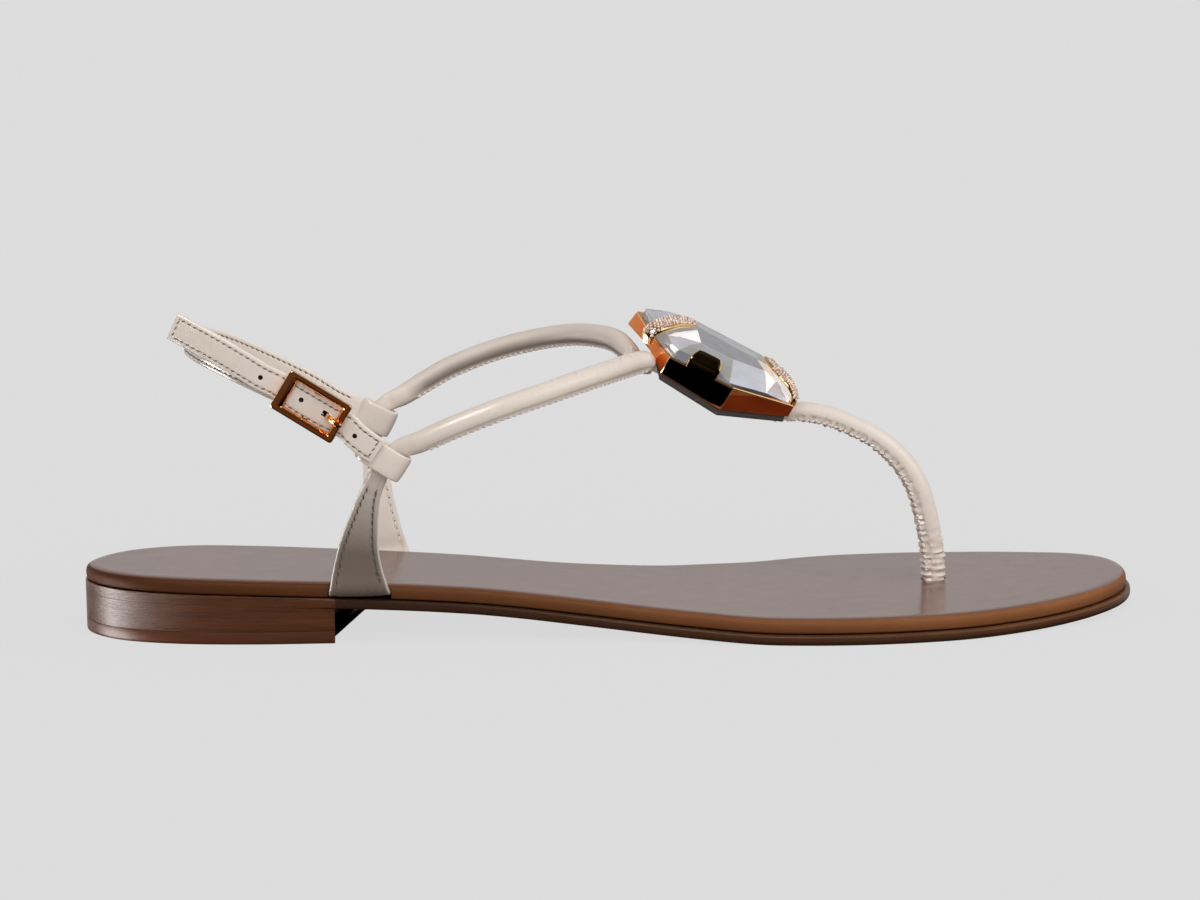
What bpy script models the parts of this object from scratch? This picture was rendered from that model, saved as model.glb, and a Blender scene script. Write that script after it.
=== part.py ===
# Flat thong sandal, right shoe, real size. Sizes below are in millimetres.
# Axes: +X to the toe, -Y to the outer side, +Z up. The floor is at z = 0.
import math

import bmesh
import bpy
import numpy as np
from mathutils import Matrix, Vector

MM = 0.001
GAP = 0.3
# Middle of the sandal's box on the floor, from the back of the heel. The finished model has its
# origin there.
ORIGIN = (125.0, 0.2, 0.0)

# Sole: plan outline, a row for each station from the back of the heel to the toe tip
# along, outer side, inner side
OUTLINE = (
    (-0.5, 0.4, 0.4),
    (2.2, -8.4, 9.4),
    (9.2, -16.2, 17.6),
    (22.0, -22.0, 22.8),
    (40.0, -25.1, 22.6),
    (60.0, -25.9, 20.8),
    (85.0, -26.2, 19.2),
    (110.0, -28.2, 18.6),
    (135.0, -33.8, 24.0),
    (155.0, -39.2, 33.0),
    (175.0, -42.5, 40.8),
    (190.0, -42.5, 43.0),
    (205.0, -40.0, 43.0),
    (218.0, -35.4, 41.0),
    (230.0, -28.6, 36.8),
    (240.2, -20.4, 30.4),
    (247.6, -9.6, 20.6),
    (250.5, 5.4, 5.4),
)
STEPS_PER_STATION = 3

# Sole: height of the outsole's underside over the floor, with the forefoot flat on the floor
# along, height
UNDERSIDE = (
    (0.0, 9.9),
    (30.0, 9.4),
    (60.0, 8.3),
    (90.0, 6.5),
    (120.0, 3.4),
    (145.0, 1.1),
    (165.0, 0.0),
    (205.0, 0.0),
    (225.0, 0.4),
    (250.0, 2.0),
)
OUTSOLE_THICKNESS = 2.4
INSOLE_THICKNESS = 3.5
INSOLE_INSET_HEEL = 0.2
INSOLE_INSET_FOREFOOT = 1.0
INSET_STARTS = 60.0
INSET_ENDS = 150.0
# Edge profiles from the bottom up: inset from the outline, height over the layer's underside
OUTSOLE_EDGE = (
    (0.7, 0.0),
    (0.0, 0.7),
    (0.0, 1.9),
    (0.5, OUTSOLE_THICKNESS),
)
INSOLE_EDGE = (
    (0.9, 0.0),
    (0.2, 0.6),
    (0.0, 1.5),
    (0.2, 2.5),
    (0.8, 3.2),
    (1.8, INSOLE_THICKNESS),
)

# Heel: stacked block with a hollowed breast, on its top lift
BREAST_OUTER = 59.8
BREAST_INNER = 68.0
BREAST_HOLLOW = 4.2
BREAST_STEPS = 10
BREAST_CORNER_ROOM = 1.0
LIFT_THICKNESS = 3.0
LIFT_EDGE = (
    (0.6, 0.0),
    (0.1, 0.5),
    (0.1, LIFT_THICKNESS),
)

# Foot of each tab: its flat rows, and how far its room in the insole opens downwards
FOOT_ROWS = 3
POCKET_DROP = 1.2

# Upper: tabs and rolled arms, a row for each section from under the insole to the jewel
# along, across, height, width, thickness, squareness
OUTER_STRAND = (
    (65.8, -17.0, 11.8, 13.4, 1.3, 6.0),
    (65.8, -21.5, 11.8, 14.0, 1.3, 6.0),
    (65.8, -25.2, 11.9, 14.6, 1.4, 6.0),
    (65.7, -26.9, 13.5, 13.8, 1.6, 6.0),
    (65.6, -27.0, 17.0, 12.1, 1.8, 6.0),
    (65.9, -27.4, 22.5, 9.7, 1.8, 6.0),
    (67.1, -28.3, 29.0, 7.4, 1.8, 5.0),
    (68.7, -29.4, 35.2, 5.4, 2.0, 4.0),
    (70.6, -30.3, 39.8, 4.6, 2.4, 3.0),
    (72.9, -31.0, 43.8, 4.3, 2.4, 2.5),
    (76.4, -31.1, 47.1, 4.7, 2.9, 2.2),
    (81.1, -32.0, 48.9, 5.1, 4.8, 2.0),
    (88.7, -33.0, 52.3, 5.2, 5.2, 2.0),
    (100.0, -32.6, 56.4, 5.2, 5.2, 2.0),
    (111.3, -28.6, 59.4, 5.2, 5.2, 2.0),
    (119.5, -23.0, 61.2, 5.2, 5.2, 2.0),
    (127.5, -14.0, 62.2, 5.2, 5.2, 2.0),
    (132.4, -6.8, 62.5, 5.2, 5.2, 2.0),
    (134.6, -3.8, 62.2, 5.0, 5.0, 2.0),
    (135.1, -1.6, 60.9, 3.8, 3.8, 2.0),
    (134.3, 1.4, 59.9, 2.6, 2.6, 2.0),
)
INNER_STRAND = (
    (69.6, 12.4, 11.6, 13.4, 1.3, 6.0),
    (69.6, 16.6, 11.6, 14.0, 1.3, 6.0),
    (69.6, 20.2, 11.7, 14.6, 1.4, 6.0),
    (69.6, 21.8, 13.4, 13.8, 1.6, 6.0),
    (69.4, 22.3, 17.0, 12.0, 1.8, 6.0),
    (69.3, 23.6, 22.5, 9.4, 1.8, 6.0),
    (69.2, 25.5, 29.0, 6.9, 1.8, 5.0),
    (68.7, 27.4, 35.2, 5.4, 2.0, 4.0),
    (68.4, 29.1, 40.6, 4.6, 2.1, 3.0),
    (69.5, 29.6, 44.8, 4.1, 2.4, 2.5),
    (71.6, 29.9, 47.8, 4.2, 2.8, 2.3),
    (76.2, 30.5, 50.0, 4.9, 4.4, 2.1),
    (81.0, 31.1, 52.8, 5.2, 5.0, 2.0),
    (88.1, 32.0, 56.5, 5.2, 5.2, 2.0),
    (99.9, 32.0, 60.7, 5.2, 5.2, 2.0),
    (111.7, 28.6, 63.7, 5.2, 5.2, 2.0),
    (120.0, 22.4, 65.2, 5.2, 5.2, 2.0),
    (127.6, 13.4, 65.1, 5.2, 5.2, 2.0),
    (130.4, 9.0, 63.5, 4.8, 4.8, 2.0),
    (132.2, 5.8, 61.6, 4.0, 4.0, 2.0),
    (133.2, 3.8, 60.2, 2.8, 2.8, 2.0),
)
# Instep strap in front of the jewel and the thong down to the toe post
# along, across, height, width, thickness, squareness
THONG_STRAND = (
    (172.4, 5.0, 47.9, 5.4, 4.5, 2.2),
    (178.4, 5.1, 46.6, 5.2, 4.8, 2.0),
    (184.1, 5.2, 44.2, 5.2, 4.9, 2.0),
    (189.8, 5.3, 40.9, 5.3, 5.1, 2.0),
    (195.6, 5.6, 35.5, 5.5, 5.5, 2.0),
    (199.5, 5.7, 29.0, 5.7, 5.7, 2.0),
    (201.8, 5.8, 20.4, 5.8, 5.8, 2.0),
    (203.0, 5.8, 12.4, 5.8, 5.8, 2.0),
    (203.2, 5.8, 7.6, 5.7, 5.7, 2.0),
    (203.2, 5.8, 2.9, 5.0, 5.0, 2.0),
)
# Hole of the insole round the toe post
POST_HOLE_MIDDLE = (203.2, 5.8, 6.0)
POST_HOLE_RADIUS = 3.3
POST_HOLE_LENGTH = 20.0
POST_HOLE_SIDES = 24

# Jewel frame: its middle, and how far it turns to the inner side, dips to the toe and leans outward
JEWEL_MIDDLE = (151.2, 3.0, 61.5)
JEWEL_YAW = 10.0
JEWEL_PITCH = 21.5
JEWEL_ROLL = 20.0
# Setting in the jewel's own frame, a row for each corner of its rim and of its foot below
# along, across, wall depth, foot along, foot across
RIM = (
    (-18.4, 12.0, 3.8, -19.4, 11.2),
    (-15.8, 0.2, 2.9, -16.0, 1.0),
    (-12.0, -7.2, 5.0, -11.0, -6.4),
    (4.0, -12.3, 6.8, 3.9, -11.9),
    (19.0, -10.7, 3.4, 18.8, -10.2),
    (15.2, 8.6, 3.8, 14.8, 8.2),
    (-5.8, 17.0, 6.2, -5.7, 16.4),
)
SETTING_MIDDLE_DEPTH = 5.0
SETTING_WALL = 0.9
SETTING_FLOOR = 0.9
SETTING_CHAMFER_WIDTH = 0.3
SETTING_CHAMFER_DEPTH = 0.4
CRYSTAL_GIRDLE_DROP = 0.5
CRYSTAL_GIRDLE_RISE = 0.9
CRYSTAL_CROWN_RISE = 2.7
CRYSTAL_TABLE_INSET = 4.6
PAD_THICKNESS = 2.0
PAD_INSET = 0.5
# Strap under the jewel in the jewel's own frame
# along, across, height, width, thickness, squareness
UNDER_JEWEL = (
    (-20.0, 0.8, -6.6, 4.4, 3.8, 2.2),
    (-15.5, 1.2, -8.5, 6.0, 2.3, 3.0),
    (-9.0, 1.4, -9.2, 7.2, 1.9, 4.0),
    (0.0, 1.0, -9.4, 7.4, 1.9, 4.0),
    (9.0, -0.4, -9.1, 7.2, 1.9, 4.0),
    (16.0, -2.0, -8.0, 6.6, 2.4, 3.0),
)

# Plain claw on the outer wall of the setting, and its section from the wall over the stone
SIDE_CLAW_WALL = 2
SIDE_CLAW_SHARE = 0.5
# inset from the wall, height, length
SIDE_CLAW_BEND = (
    (0.45, -1.2, 8.2),
    (0.45, 0.6, 8.2),
    (0.65, 1.75, 8.0),
    (1.75, 2.75, 7.2),
    (3.05, 3.4, 5.7),
)
# Stone-set claws over the ends of the crystal, in the jewel's own frame
# along, across, height, width, thickness, squareness
REAR_CLAW = (
    (-17.1, -1.0, -0.9, 3.2, 2.0, 2.4),
    (-17.4, -1.0, 1.0, 3.4, 2.0, 2.4),
    (-16.2, -0.1, 2.7, 3.9, 1.9, 2.4),
    (-13.9, 2.1, 3.5, 4.3, 1.8, 2.4),
    (-11.2, 4.6, 3.8, 4.2, 1.6, 2.4),
    (-8.2, 6.6, 3.8, 3.2, 1.3, 2.2),
    (-6.8, 7.5, 3.7, 1.4, 0.9, 2.0),
)
FRONT_CLAW = (
    (19.9, -8.9, -0.8, 1.8, 1.4, 2.4),
    (19.8, -8.6, 1.0, 2.0, 1.4, 2.4),
    (18.7, -7.0, 2.4, 2.8, 1.4, 2.4),
    (16.6, -4.2, 3.2, 3.5, 1.3, 2.4),
    (14.6, -1.0, 3.4, 3.2, 1.2, 2.4),
    (12.9, 1.8, 3.5, 2.2, 1.0, 2.2),
    (12.2, 2.8, 3.4, 1.0, 0.8, 2.0),
)

# Buckle: middle of the frame and its sizes along and across the strap
BUCKLE_MIDDLE = (56.0, -34.0, 58.2)
BUCKLE_ALONG = (0.842, -0.10, -0.530)
BUCKLE_LENGTH = 16.9
BUCKLE_WIDTH = 10.3
BUCKLE_DEPTH = 1.6
BUCKLE_BACK_BAR = 2.3
BUCKLE_FRONT_BAR = 1.7
BUCKLE_SIDE_BAR = 1.6
BUCKLE_SOFTENING = 0.25
EAR_LENGTH_ALONG = 2.4
EAR_THICKNESS = 1.2
CENTRE_BAR_RADIUS = 0.6
CENTRE_BAR_DEPTH = 4.7
PRONG_RADIUS = 0.6
PRONG_SLEEVE_WALL = 0.7
PRONG_SLEEVE_LENGTH = 1.8
# Prong in the buckle's own frame: along, out
PRONG_PATH = (
    (1.3, -4.5),
    (2.6, -3.7),
    (3.8, -1.9),
    (4.9, 0.2),
    (6.2, 1.5),
    (8.2, 1.75),
)
PRONG_HOLE_ALONG = 3.9
PRONG_HOLE_LENGTH = 3.6
HOLE_RADIUS = 0.95
HOLE_SIDES = 12
# Room for the prong's sleeve in the fold of the back strap: size, and its middle along the buckle
PRONG_ROOM = (6.0, 2.6, 6.0)
PRONG_ROOM_ALONG = 1.2
# Free holes of the strap: along, across, height
STRAP_HOLES = (
    (44.4, -30.4, 64.9),
    (53.8, -32.0, 59.6),
    (66.1, -33.9, 51.1),
)

# Ankle strap: front part from its free tip to its end on the loop
# along, across, height, width, thickness, squareness
STRAP_WIDTH = 6.6
STRAP_THICKNESS = 1.6
FRONT_STRAP_TAIL = (
    (23.9, -22.6, 76.2),
    (29.1, -25.0, 73.6),
    (34.3, -27.2, 70.9),
    (39.4, -29.1, 68.0),
    (44.4, -30.5, 65.0),
)
FRONT_STRAP_IN_BUCKLE = (-9.0, -4.5, 0.0, 4.5, 9.0)
FRONT_STRAP_DEPTH = 1.9
FRONT_STRAP_END = (
    (66.3, -33.9, 51.0),
    (69.0, -34.5, 48.8),
    (72.4, -34.6, 46.4),
)
# Back part from the buckle's centre bar round the ankle to the inner loop
# along, across, height
BACK_STRAP_IN_BUCKLE = (1.9, 0.0, -2.6)
BACK_STRAP_FOLD_THICKNESS = 3.4
BACK_STRAP_FOLD_WIDTH = 5.8
BACK_STRAP_WIDTH = 6.6
BACK_STRAP_THICKNESS = 1.8
BACK_STRAP = (
    (48.6, -28.7, 61.9),
    (44.1, -27.9, 64.0),
    (37.6, -25.2, 66.9),
    (31.2, -18.8, 69.2),
    (27.6, -9.5, 69.9),
    (26.7, -0.5, 69.3),
    (28.0, 7.0, 68.2),
    (32.6, 13.6, 66.0),
    (41.6, 20.4, 60.8),
    (53.4, 25.9, 53.7),
    (59.4, 28.0, 49.4),
    (63.2, 28.9, 47.4),
    (66.1, 29.4, 46.4),
)
# Loops round the necks of the tabs: middle, along the band, half of the straight part
OUTER_LOOP = ((72.4, -30.9, 45.3), (0.835, -0.05, -0.548), 3.0)
INNER_LOOP = ((69.3, 29.6, 44.8), (0.885, 0.06, -0.462), 1.6)
LOOP_WIDTH = 6.5
LOOP_THICKNESS = 1.3
LOOP_RADIUS = 2.45
LOOP_CORNER = 0.35
LOOP_STEPS = 8

SECTION_POINTS = 12
STEPS_PER_ROW = 3
CLAW_STEPS = 2
FLAT_SQUARENESS = 5.0
SHARP_ANGLE = 35.0


# Materials, one for each sub-part
def make_material(name, colour, roughness, metallic=0.0, transmission=0.0):
    material = bpy.data.materials.new(name)
    material.use_nodes = True
    shader = material.node_tree.nodes["Principled BSDF"]
    shader.inputs["Base Color"].default_value = (*colour, 1.0)
    shader.inputs["Roughness"].default_value = roughness
    shader.inputs["Metallic"].default_value = metallic
    shader.inputs["Transmission Weight"].default_value = transmission
    material.diffuse_color = (*colour, 1.0)
    return material


# Scene and collections
def clear_scene():
    for scene_object in list(bpy.data.objects):
        bpy.data.objects.remove(scene_object, do_unlink=True)


def make_collection(name):
    collection = bpy.data.collections.new(name)
    bpy.context.scene.collection.children.link(collection)
    return collection


def metres(point):
    return tuple(float(c - o) * MM for c, o in zip(point, ORIGIN))


def mesh_object(name, vertices, faces, material, collection):
    mesh = bpy.data.meshes.new(name)
    mesh.from_pydata([metres(v) for v in vertices], [], faces)
    work = bmesh.new()
    work.from_mesh(mesh)
    bmesh.ops.recalc_face_normals(work, faces=work.faces)
    work.to_mesh(mesh)
    work.free()
    mesh.materials.append(material)
    for polygon in mesh.polygons:
        polygon.use_smooth = True
    mesh.set_sharp_from_angle(angle=math.radians(SHARP_ANGLE))
    made = bpy.data.objects.new(name, mesh)
    collection.objects.link(made)
    return made


def as_cutter(cutter):
    cutter.hide_render = True
    cutter.display_type = "WIRE"
    return cutter


def boolean(target, other, operation):
    modifier = target.modifiers.new(f"{operation.lower()} {other.name}", "BOOLEAN")
    modifier.operation = operation
    modifier.solver = "EXACT"
    modifier.object = other
    as_cutter(other)


# Curves
def smooth_path(rows, steps, closed=False):
    """Points on a smooth curve through the rows, with each row's other values carried along."""
    rows = np.array(rows, float)
    count = len(rows)
    spans = count if closed else count - 1
    result = []
    for i in range(spans):
        at = [(i + k) % count if closed else min(max(i + k, 0), count - 1) for k in (-1, 0, 1, 2)]
        before, start, end, after = rows[at]
        knots = [0.0]
        for a, b in ((before, start), (start, end), (end, after)):
            knots.append(knots[-1] + max(np.linalg.norm((b - a)[:3]), 1e-6) ** 0.5)
        lead_in = tangent_at(before, start, end, knots[0], knots[1], knots[2])
        lead_out = tangent_at(start, end, after, knots[1], knots[2], knots[3])
        length = knots[2] - knots[1]
        for step in range(steps):
            t = step / steps
            result.append(
                (2 * t**3 - 3 * t**2 + 1) * start
                + (t**3 - 2 * t**2 + t) * length * lead_in
                + (3 * t**2 - 2 * t**3) * end
                + (t**3 - t**2) * length * lead_out
            )
    if not closed:
        result.append(rows[-1])
    return np.array(result)


def tangent_at(before, here, after, knot_before, knot_here, knot_after):
    """Slope at a row; at the first and last row the neighbour is the row itself."""
    step_in = knot_here - knot_before
    step_out = knot_after - knot_here
    if np.allclose(before, here):
        return (after - here) / step_out
    if np.allclose(here, after):
        return (here - before) / step_in
    slope_in = (here - before) / step_in
    slope_out = (after - here) / step_out
    return (slope_in * step_out + slope_out * step_in) / (step_in + step_out)


def underside_height(along):
    """Monotone curve through the UNDERSIDE rows, flat where the forefoot rests."""
    rows = np.array(UNDERSIDE)
    stations, heights = rows[:, 0], rows[:, 1]
    slopes = np.diff(heights) / np.diff(stations)
    tangents = np.concatenate(([slopes[0]], np.zeros(len(slopes) - 1), [slopes[-1]]))
    for i in range(1, len(slopes)):
        if slopes[i - 1] * slopes[i] > 0:
            tangents[i] = 2 * slopes[i - 1] * slopes[i] / (slopes[i - 1] + slopes[i])
    along = min(max(along, stations[0]), stations[-1])
    i = min(int(np.searchsorted(stations, along, side="right")) - 1, len(slopes) - 1)
    span = stations[i + 1] - stations[i]
    t = (along - stations[i]) / span
    return (
        (2 * t**3 - 3 * t**2 + 1) * heights[i]
        + (t**3 - 2 * t**2 + t) * span * tangents[i]
        + (3 * t**2 - 2 * t**3) * heights[i + 1]
        + (t**3 - t**2) * span * tangents[i + 1]
    )


# Sole pieces
def sole_outline():
    """Closed plan curve, heel back first, along the outer side to the toe and back."""
    outer_side = [(row[0], row[1]) for row in OUTLINE]
    inner_side = [(row[0], row[2]) for row in reversed(OUTLINE[1:-1])]
    return smooth_path(outer_side + inner_side, STEPS_PER_STATION, closed=True)


def outward_directions(points):
    tangents = np.roll(points, -1, axis=0) - np.roll(points, 1, axis=0)
    tangents /= np.linalg.norm(tangents, axis=1)[:, None]
    return np.stack([tangents[:, 1], -tangents[:, 0]], axis=1)


def inset_at(along, heel_inset, forefoot_inset):
    share = min(max((along - INSET_STARTS) / (INSET_ENDS - INSET_STARTS), 0.0), 1.0)
    return heel_inset + (forefoot_inset - heel_inset) * share


def sole_layer(name, base_level, rings, heel_inset, forefoot_inset, material, collection):
    """A layer of the sole: rings of (inset, height) over a base level that follows the arch."""
    outline = sole_outline()
    outward = outward_directions(outline)
    count = len(outline)
    half = count // 2
    vertices = []
    for inset, height in rings:
        for point, direction in zip(outline, outward):
            shift = inset_at(point[0], heel_inset, forefoot_inset) + inset
            x, y = point - direction * shift
            vertices.append((x, y, underside_height(point[0]) + base_level + height))
    faces = ring_faces(len(rings), count)
    last = (len(rings) - 1) * count
    for i in range(half):
        left, right = (count - i) % count, count - i - 1
        corners = [i, i + 1, right, left]
        cap = list(dict.fromkeys(corners))
        faces.append(cap)
        faces.append([last + c for c in reversed(cap)])
    return mesh_object(name, vertices, faces, material, collection)


def ring_faces(ring_count, point_count):
    faces = []
    for ring in range(ring_count - 1):
        for i in range(point_count):
            j = (i + 1) % point_count
            a, b = ring * point_count, (ring + 1) * point_count
            faces.append([a + i, b + i, b + j, a + j])
    return faces


def heel_outline():
    """Plan of the heel: the sole's outline behind the breast, closed by the hollowed breast."""
    whole = sole_outline()
    count = len(whole)
    outer_end = edge_point(whole[: count // 2 + 1], BREAST_OUTER)
    inner_end = edge_point(np.concatenate((whole[:1], whole[: count // 2 - 1 : -1])), BREAST_INNER)
    outer_run = [p for p in whole[: count // 2] if p[0] < BREAST_OUTER - BREAST_CORNER_ROOM]
    inner_run = [p for p in whole[count // 2:] if p[0] < BREAST_INNER - BREAST_CORNER_ROOM]
    breast = []
    for step in range(BREAST_STEPS + 1):
        t = step / BREAST_STEPS
        chord = outer_end * (1 - t) + inner_end * t
        breast.append(chord - np.array([4 * BREAST_HOLLOW * t * (1 - t), 0.0]))
    return np.array(outer_run + breast + inner_run)


def edge_point(run, along):
    order = np.argsort(run[:, 0])
    return np.array([along, np.interp(along, run[order, 0], run[order, 1])])


def heel_layer(name, rings, material, collection):
    """Part of the heel: rings of (inset, height), where height None follows the sole above."""
    outline = heel_outline()
    outward = outward_directions(outline)
    vertices = []
    for inset, height in rings:
        for point, direction in zip(outline, outward):
            x, y = point - direction * inset
            top = underside_height(point[0]) - GAP
            vertices.append((x, y, top if height is None else height))
    count = len(outline)
    faces = ring_faces(len(rings), count)
    faces.append(list(range(count)))
    faces.append([(len(rings) - 1) * count + i for i in reversed(range(count))])
    return mesh_object(name, vertices, faces, material, collection)


# Straps
def section_ring(middle, across, out, width, thickness, squareness):
    """One section: a rounded rectangle, or a round one where squareness is 2."""
    ring = []
    for k in range(SECTION_POINTS):
        angle = 2 * math.pi * k / SECTION_POINTS
        c, s = math.cos(angle), math.sin(angle)
        a = math.copysign(abs(c) ** (2 / squareness), c) * width / 2
        b = math.copysign(abs(s) ** (2 / squareness), s) * thickness / 2
        ring.append(middle + across * a + out * b)
    return ring


def strap(name, rows, first_out, material, collection, steps=STEPS_PER_ROW):
    """Sweep a section along the rows; its outward side turns with the strap, without twist."""
    path = smooth_path(rows, steps)
    middles = path[:, :3]
    tangents = np.gradient(middles, axis=0)
    tangents /= np.linalg.norm(tangents, axis=1)[:, None]
    out = np.array(first_out, float)
    vertices = []
    for middle, tangent, values in zip(middles, tangents, path[:, 3:]):
        out = out - tangent * out.dot(tangent)
        out /= np.linalg.norm(out)
        across = np.cross(out, tangent)
        vertices.extend(section_ring(middle, across, out, *values))
    faces = ring_faces(len(path), SECTION_POINTS)
    faces.append(list(range(SECTION_POINTS)))
    faces.append([(len(path) - 1) * SECTION_POINTS + i for i in reversed(range(SECTION_POINTS))])
    return mesh_object(name, vertices, faces, material, collection)


def frame_axes(along):
    """Axes of a flat piece on the strap: along it, up across it, and out from the foot."""
    along = np.array(along, float)
    along /= np.linalg.norm(along)
    up = np.array([0.0, 0.0, 1.0])
    up -= along * up.dot(along)
    up /= np.linalg.norm(up)
    return along, up, np.cross(along, up)


def loop_band(name, loop, material, collection):
    """A flat band closed into a loop round the neck of a tab."""
    middle, along, straight = loop
    along, up, out = frame_axes(along)
    middle = np.array(middle, float)
    ring_path = []
    for side in (1, -1):
        for step in range(LOOP_STEPS + 1):
            angle = math.pi * (step / LOOP_STEPS - 0.5)
            a = side * (straight + LOOP_RADIUS * math.cos(angle))
            b = side * LOOP_RADIUS * math.sin(angle)
            normal = np.array([side * math.cos(angle), side * math.sin(angle)])
            ring_path.append((a, b, normal))
    half_width, half_thickness, corner = LOOP_WIDTH / 2, LOOP_THICKNESS / 2, LOOP_CORNER
    profile = (
        (half_thickness, half_width - corner),
        (half_thickness - corner, half_width),
        (corner - half_thickness, half_width),
        (-half_thickness, half_width - corner),
        (-half_thickness, corner - half_width),
        (corner - half_thickness, -half_width),
        (half_thickness - corner, -half_width),
        (half_thickness, corner - half_width),
    )
    vertices = []
    for a, b, normal in ring_path:
        for offset, height in profile:
            a_here, b_here = a + normal[0] * offset, b + normal[1] * offset
            vertices.append(middle + along * a_here + out * b_here + up * height)
    faces = ring_faces(len(ring_path), len(profile))
    last = (len(ring_path) - 1) * len(profile)
    for i in range(len(profile)):
        j = (i + 1) % len(profile)
        faces.append([last + i, i, j, last + j])
    return mesh_object(name, vertices, faces, material, collection)


# Placement frames as Blender matrices
def placed(middle, axes):
    matrix = Matrix.Identity(4)
    for column, axis in enumerate(axes):
        for row in range(3):
            matrix[row][column] = float(axis[row])
    matrix.translation = Vector(metres(middle))
    return matrix


def box(name, size, middle, matrix, material, collection):
    bpy.ops.mesh.primitive_cube_add(size=1.0)
    made = bpy.context.object
    finish_primitive(made, name, matrix @ Matrix.Translation(Vector(middle) * MM)
                     @ Matrix.Diagonal(Vector((*size, 1000.0)) * MM), material, collection)
    return made


def rod(name, radius, length, middle, matrix, turn, material, collection, sides=16):
    bpy.ops.mesh.primitive_cylinder_add(radius=radius * MM, depth=length * MM, vertices=sides)
    made = bpy.context.object
    finish_primitive(made, name, matrix @ Matrix.Translation(Vector(middle) * MM) @ turn,
                     material, collection)
    return made


def finish_primitive(made, name, matrix, material, collection):
    made.name = name
    made.data.name = name
    made.data.transform(matrix)
    made.data.materials.append(material)
    for holder in list(made.users_collection):
        holder.objects.unlink(made)
    collection.objects.link(made)


def soften(target, width):
    bevel = target.modifiers.new("soft edges", "BEVEL")
    bevel.width = width * MM
    bevel.segments = 2
    bevel.limit_method = "ANGLE"
    bevel.angle_limit = math.radians(40.0)


# Jewel
def jewel_axes():
    yaw, pitch, roll = (math.radians(v) for v in (JEWEL_YAW, JEWEL_PITCH, JEWEL_ROLL))
    turn = Matrix.Rotation(yaw, 3, "Z") @ Matrix.Rotation(pitch, 3, "Y") @ Matrix.Rotation(roll, 3, "X")
    return [np.array(turn.col[i]) for i in range(3)]


def jewel_point(along, across, height):
    axes = jewel_axes()
    return np.array(JEWEL_MIDDLE) + axes[0] * along + axes[1] * across + axes[2] * height


def from_jewel(rows):
    return [(*jewel_point(*row[:3]), *row[3:]) for row in rows]


def inset_rim(distance):
    return inset_corners([row[:2] for row in RIM], distance)


def inset_foot(distance):
    return inset_corners([row[3:] for row in RIM], distance)


def inset_corners(corners, distance):
    """Corners moved in from both of their walls by the same distance."""
    corners = np.array(corners)
    moved = []
    for i, corner in enumerate(corners):
        normals = []
        for a, b in ((corners[i - 1], corner), (corner, corners[(i + 1) % len(corners)])):
            edge = (b - a) / np.linalg.norm(b - a)
            normals.append(np.array([-edge[1], edge[0]]))
        moved.append(corner + np.linalg.solve(np.array(normals), np.full(2, distance)))
    return np.array(moved)


def faceted(name, levels, bottom_middle, top_middle, material, collection):
    """A cut solid: levels of corners from the bottom to the top, each cap with a middle point."""
    count = len(RIM)
    vertices = []
    for corners, heights in levels:
        for corner, height in zip(corners, heights):
            vertices.append(jewel_point(*corner, height))
    faces = ring_faces(len(levels), count)
    first_middle, last_middle = len(vertices), len(vertices) + 1
    vertices.append(jewel_point(*levels[0][0].mean(axis=0), bottom_middle))
    vertices.append(jewel_point(*levels[-1][0].mean(axis=0), top_middle))
    last = (len(levels) - 1) * count
    for i in range(count):
        j = (i + 1) % count
        faces.append([i, j, first_middle])
        faces.append([last + j, last + i, last_middle])
    return mesh_object(name, vertices, faces, material, collection)


def build_jewel(parts, cutters, gold, glass, pad_suede):
    depths = np.array([row[2] for row in RIM])
    flat = np.zeros(len(RIM))
    setting = faceted(
        "jewel_setting",
        [
            (inset_foot(0.0), -depths),
            (inset_rim(0.0), flat - SETTING_CHAMFER_DEPTH),
            (inset_rim(SETTING_CHAMFER_WIDTH), flat),
            (inset_rim(SETTING_WALL), flat),
            (inset_foot(SETTING_WALL), SETTING_FLOOR - depths),
        ],
        -SETTING_MIDDLE_DEPTH,
        SETTING_FLOOR - SETTING_MIDDLE_DEPTH,
        gold,
        parts,
    )
    boolean(setting, side_claw(gold, cutters), "UNION")
    girdle = inset_rim(SETTING_WALL + GAP)
    faceted(
        "crystal",
        [
            (inset_foot(SETTING_WALL + 3 * GAP), SETTING_FLOOR + 2 * GAP - depths),
            (girdle, flat - CRYSTAL_GIRDLE_DROP),
            (girdle, flat + CRYSTAL_GIRDLE_RISE),
            (inset_rim(CRYSTAL_TABLE_INSET), flat + CRYSTAL_CROWN_RISE),
        ],
        SETTING_FLOOR + 2 * GAP - SETTING_MIDDLE_DEPTH,
        CRYSTAL_CROWN_RISE,
        glass,
        parts,
    )
    pad_rim = inset_foot(PAD_INSET)
    faceted(
        "jewel_backing",
        [
            (pad_rim, -depths - GAP - PAD_THICKNESS),
            (pad_rim, -depths - GAP),
        ],
        -SETTING_MIDDLE_DEPTH - GAP - PAD_THICKNESS,
        -SETTING_MIDDLE_DEPTH - GAP,
        pad_suede,
        parts,
    )
    for name, rows in (("claw_rear", REAR_CLAW), ("claw_front", FRONT_CLAW)):
        foot, tip = jewel_point(*rows[0][:3]), jewel_point(*rows[-1][:3])
        strap(name, from_jewel(rows), foot - tip, gold, parts, CLAW_STEPS)


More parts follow.
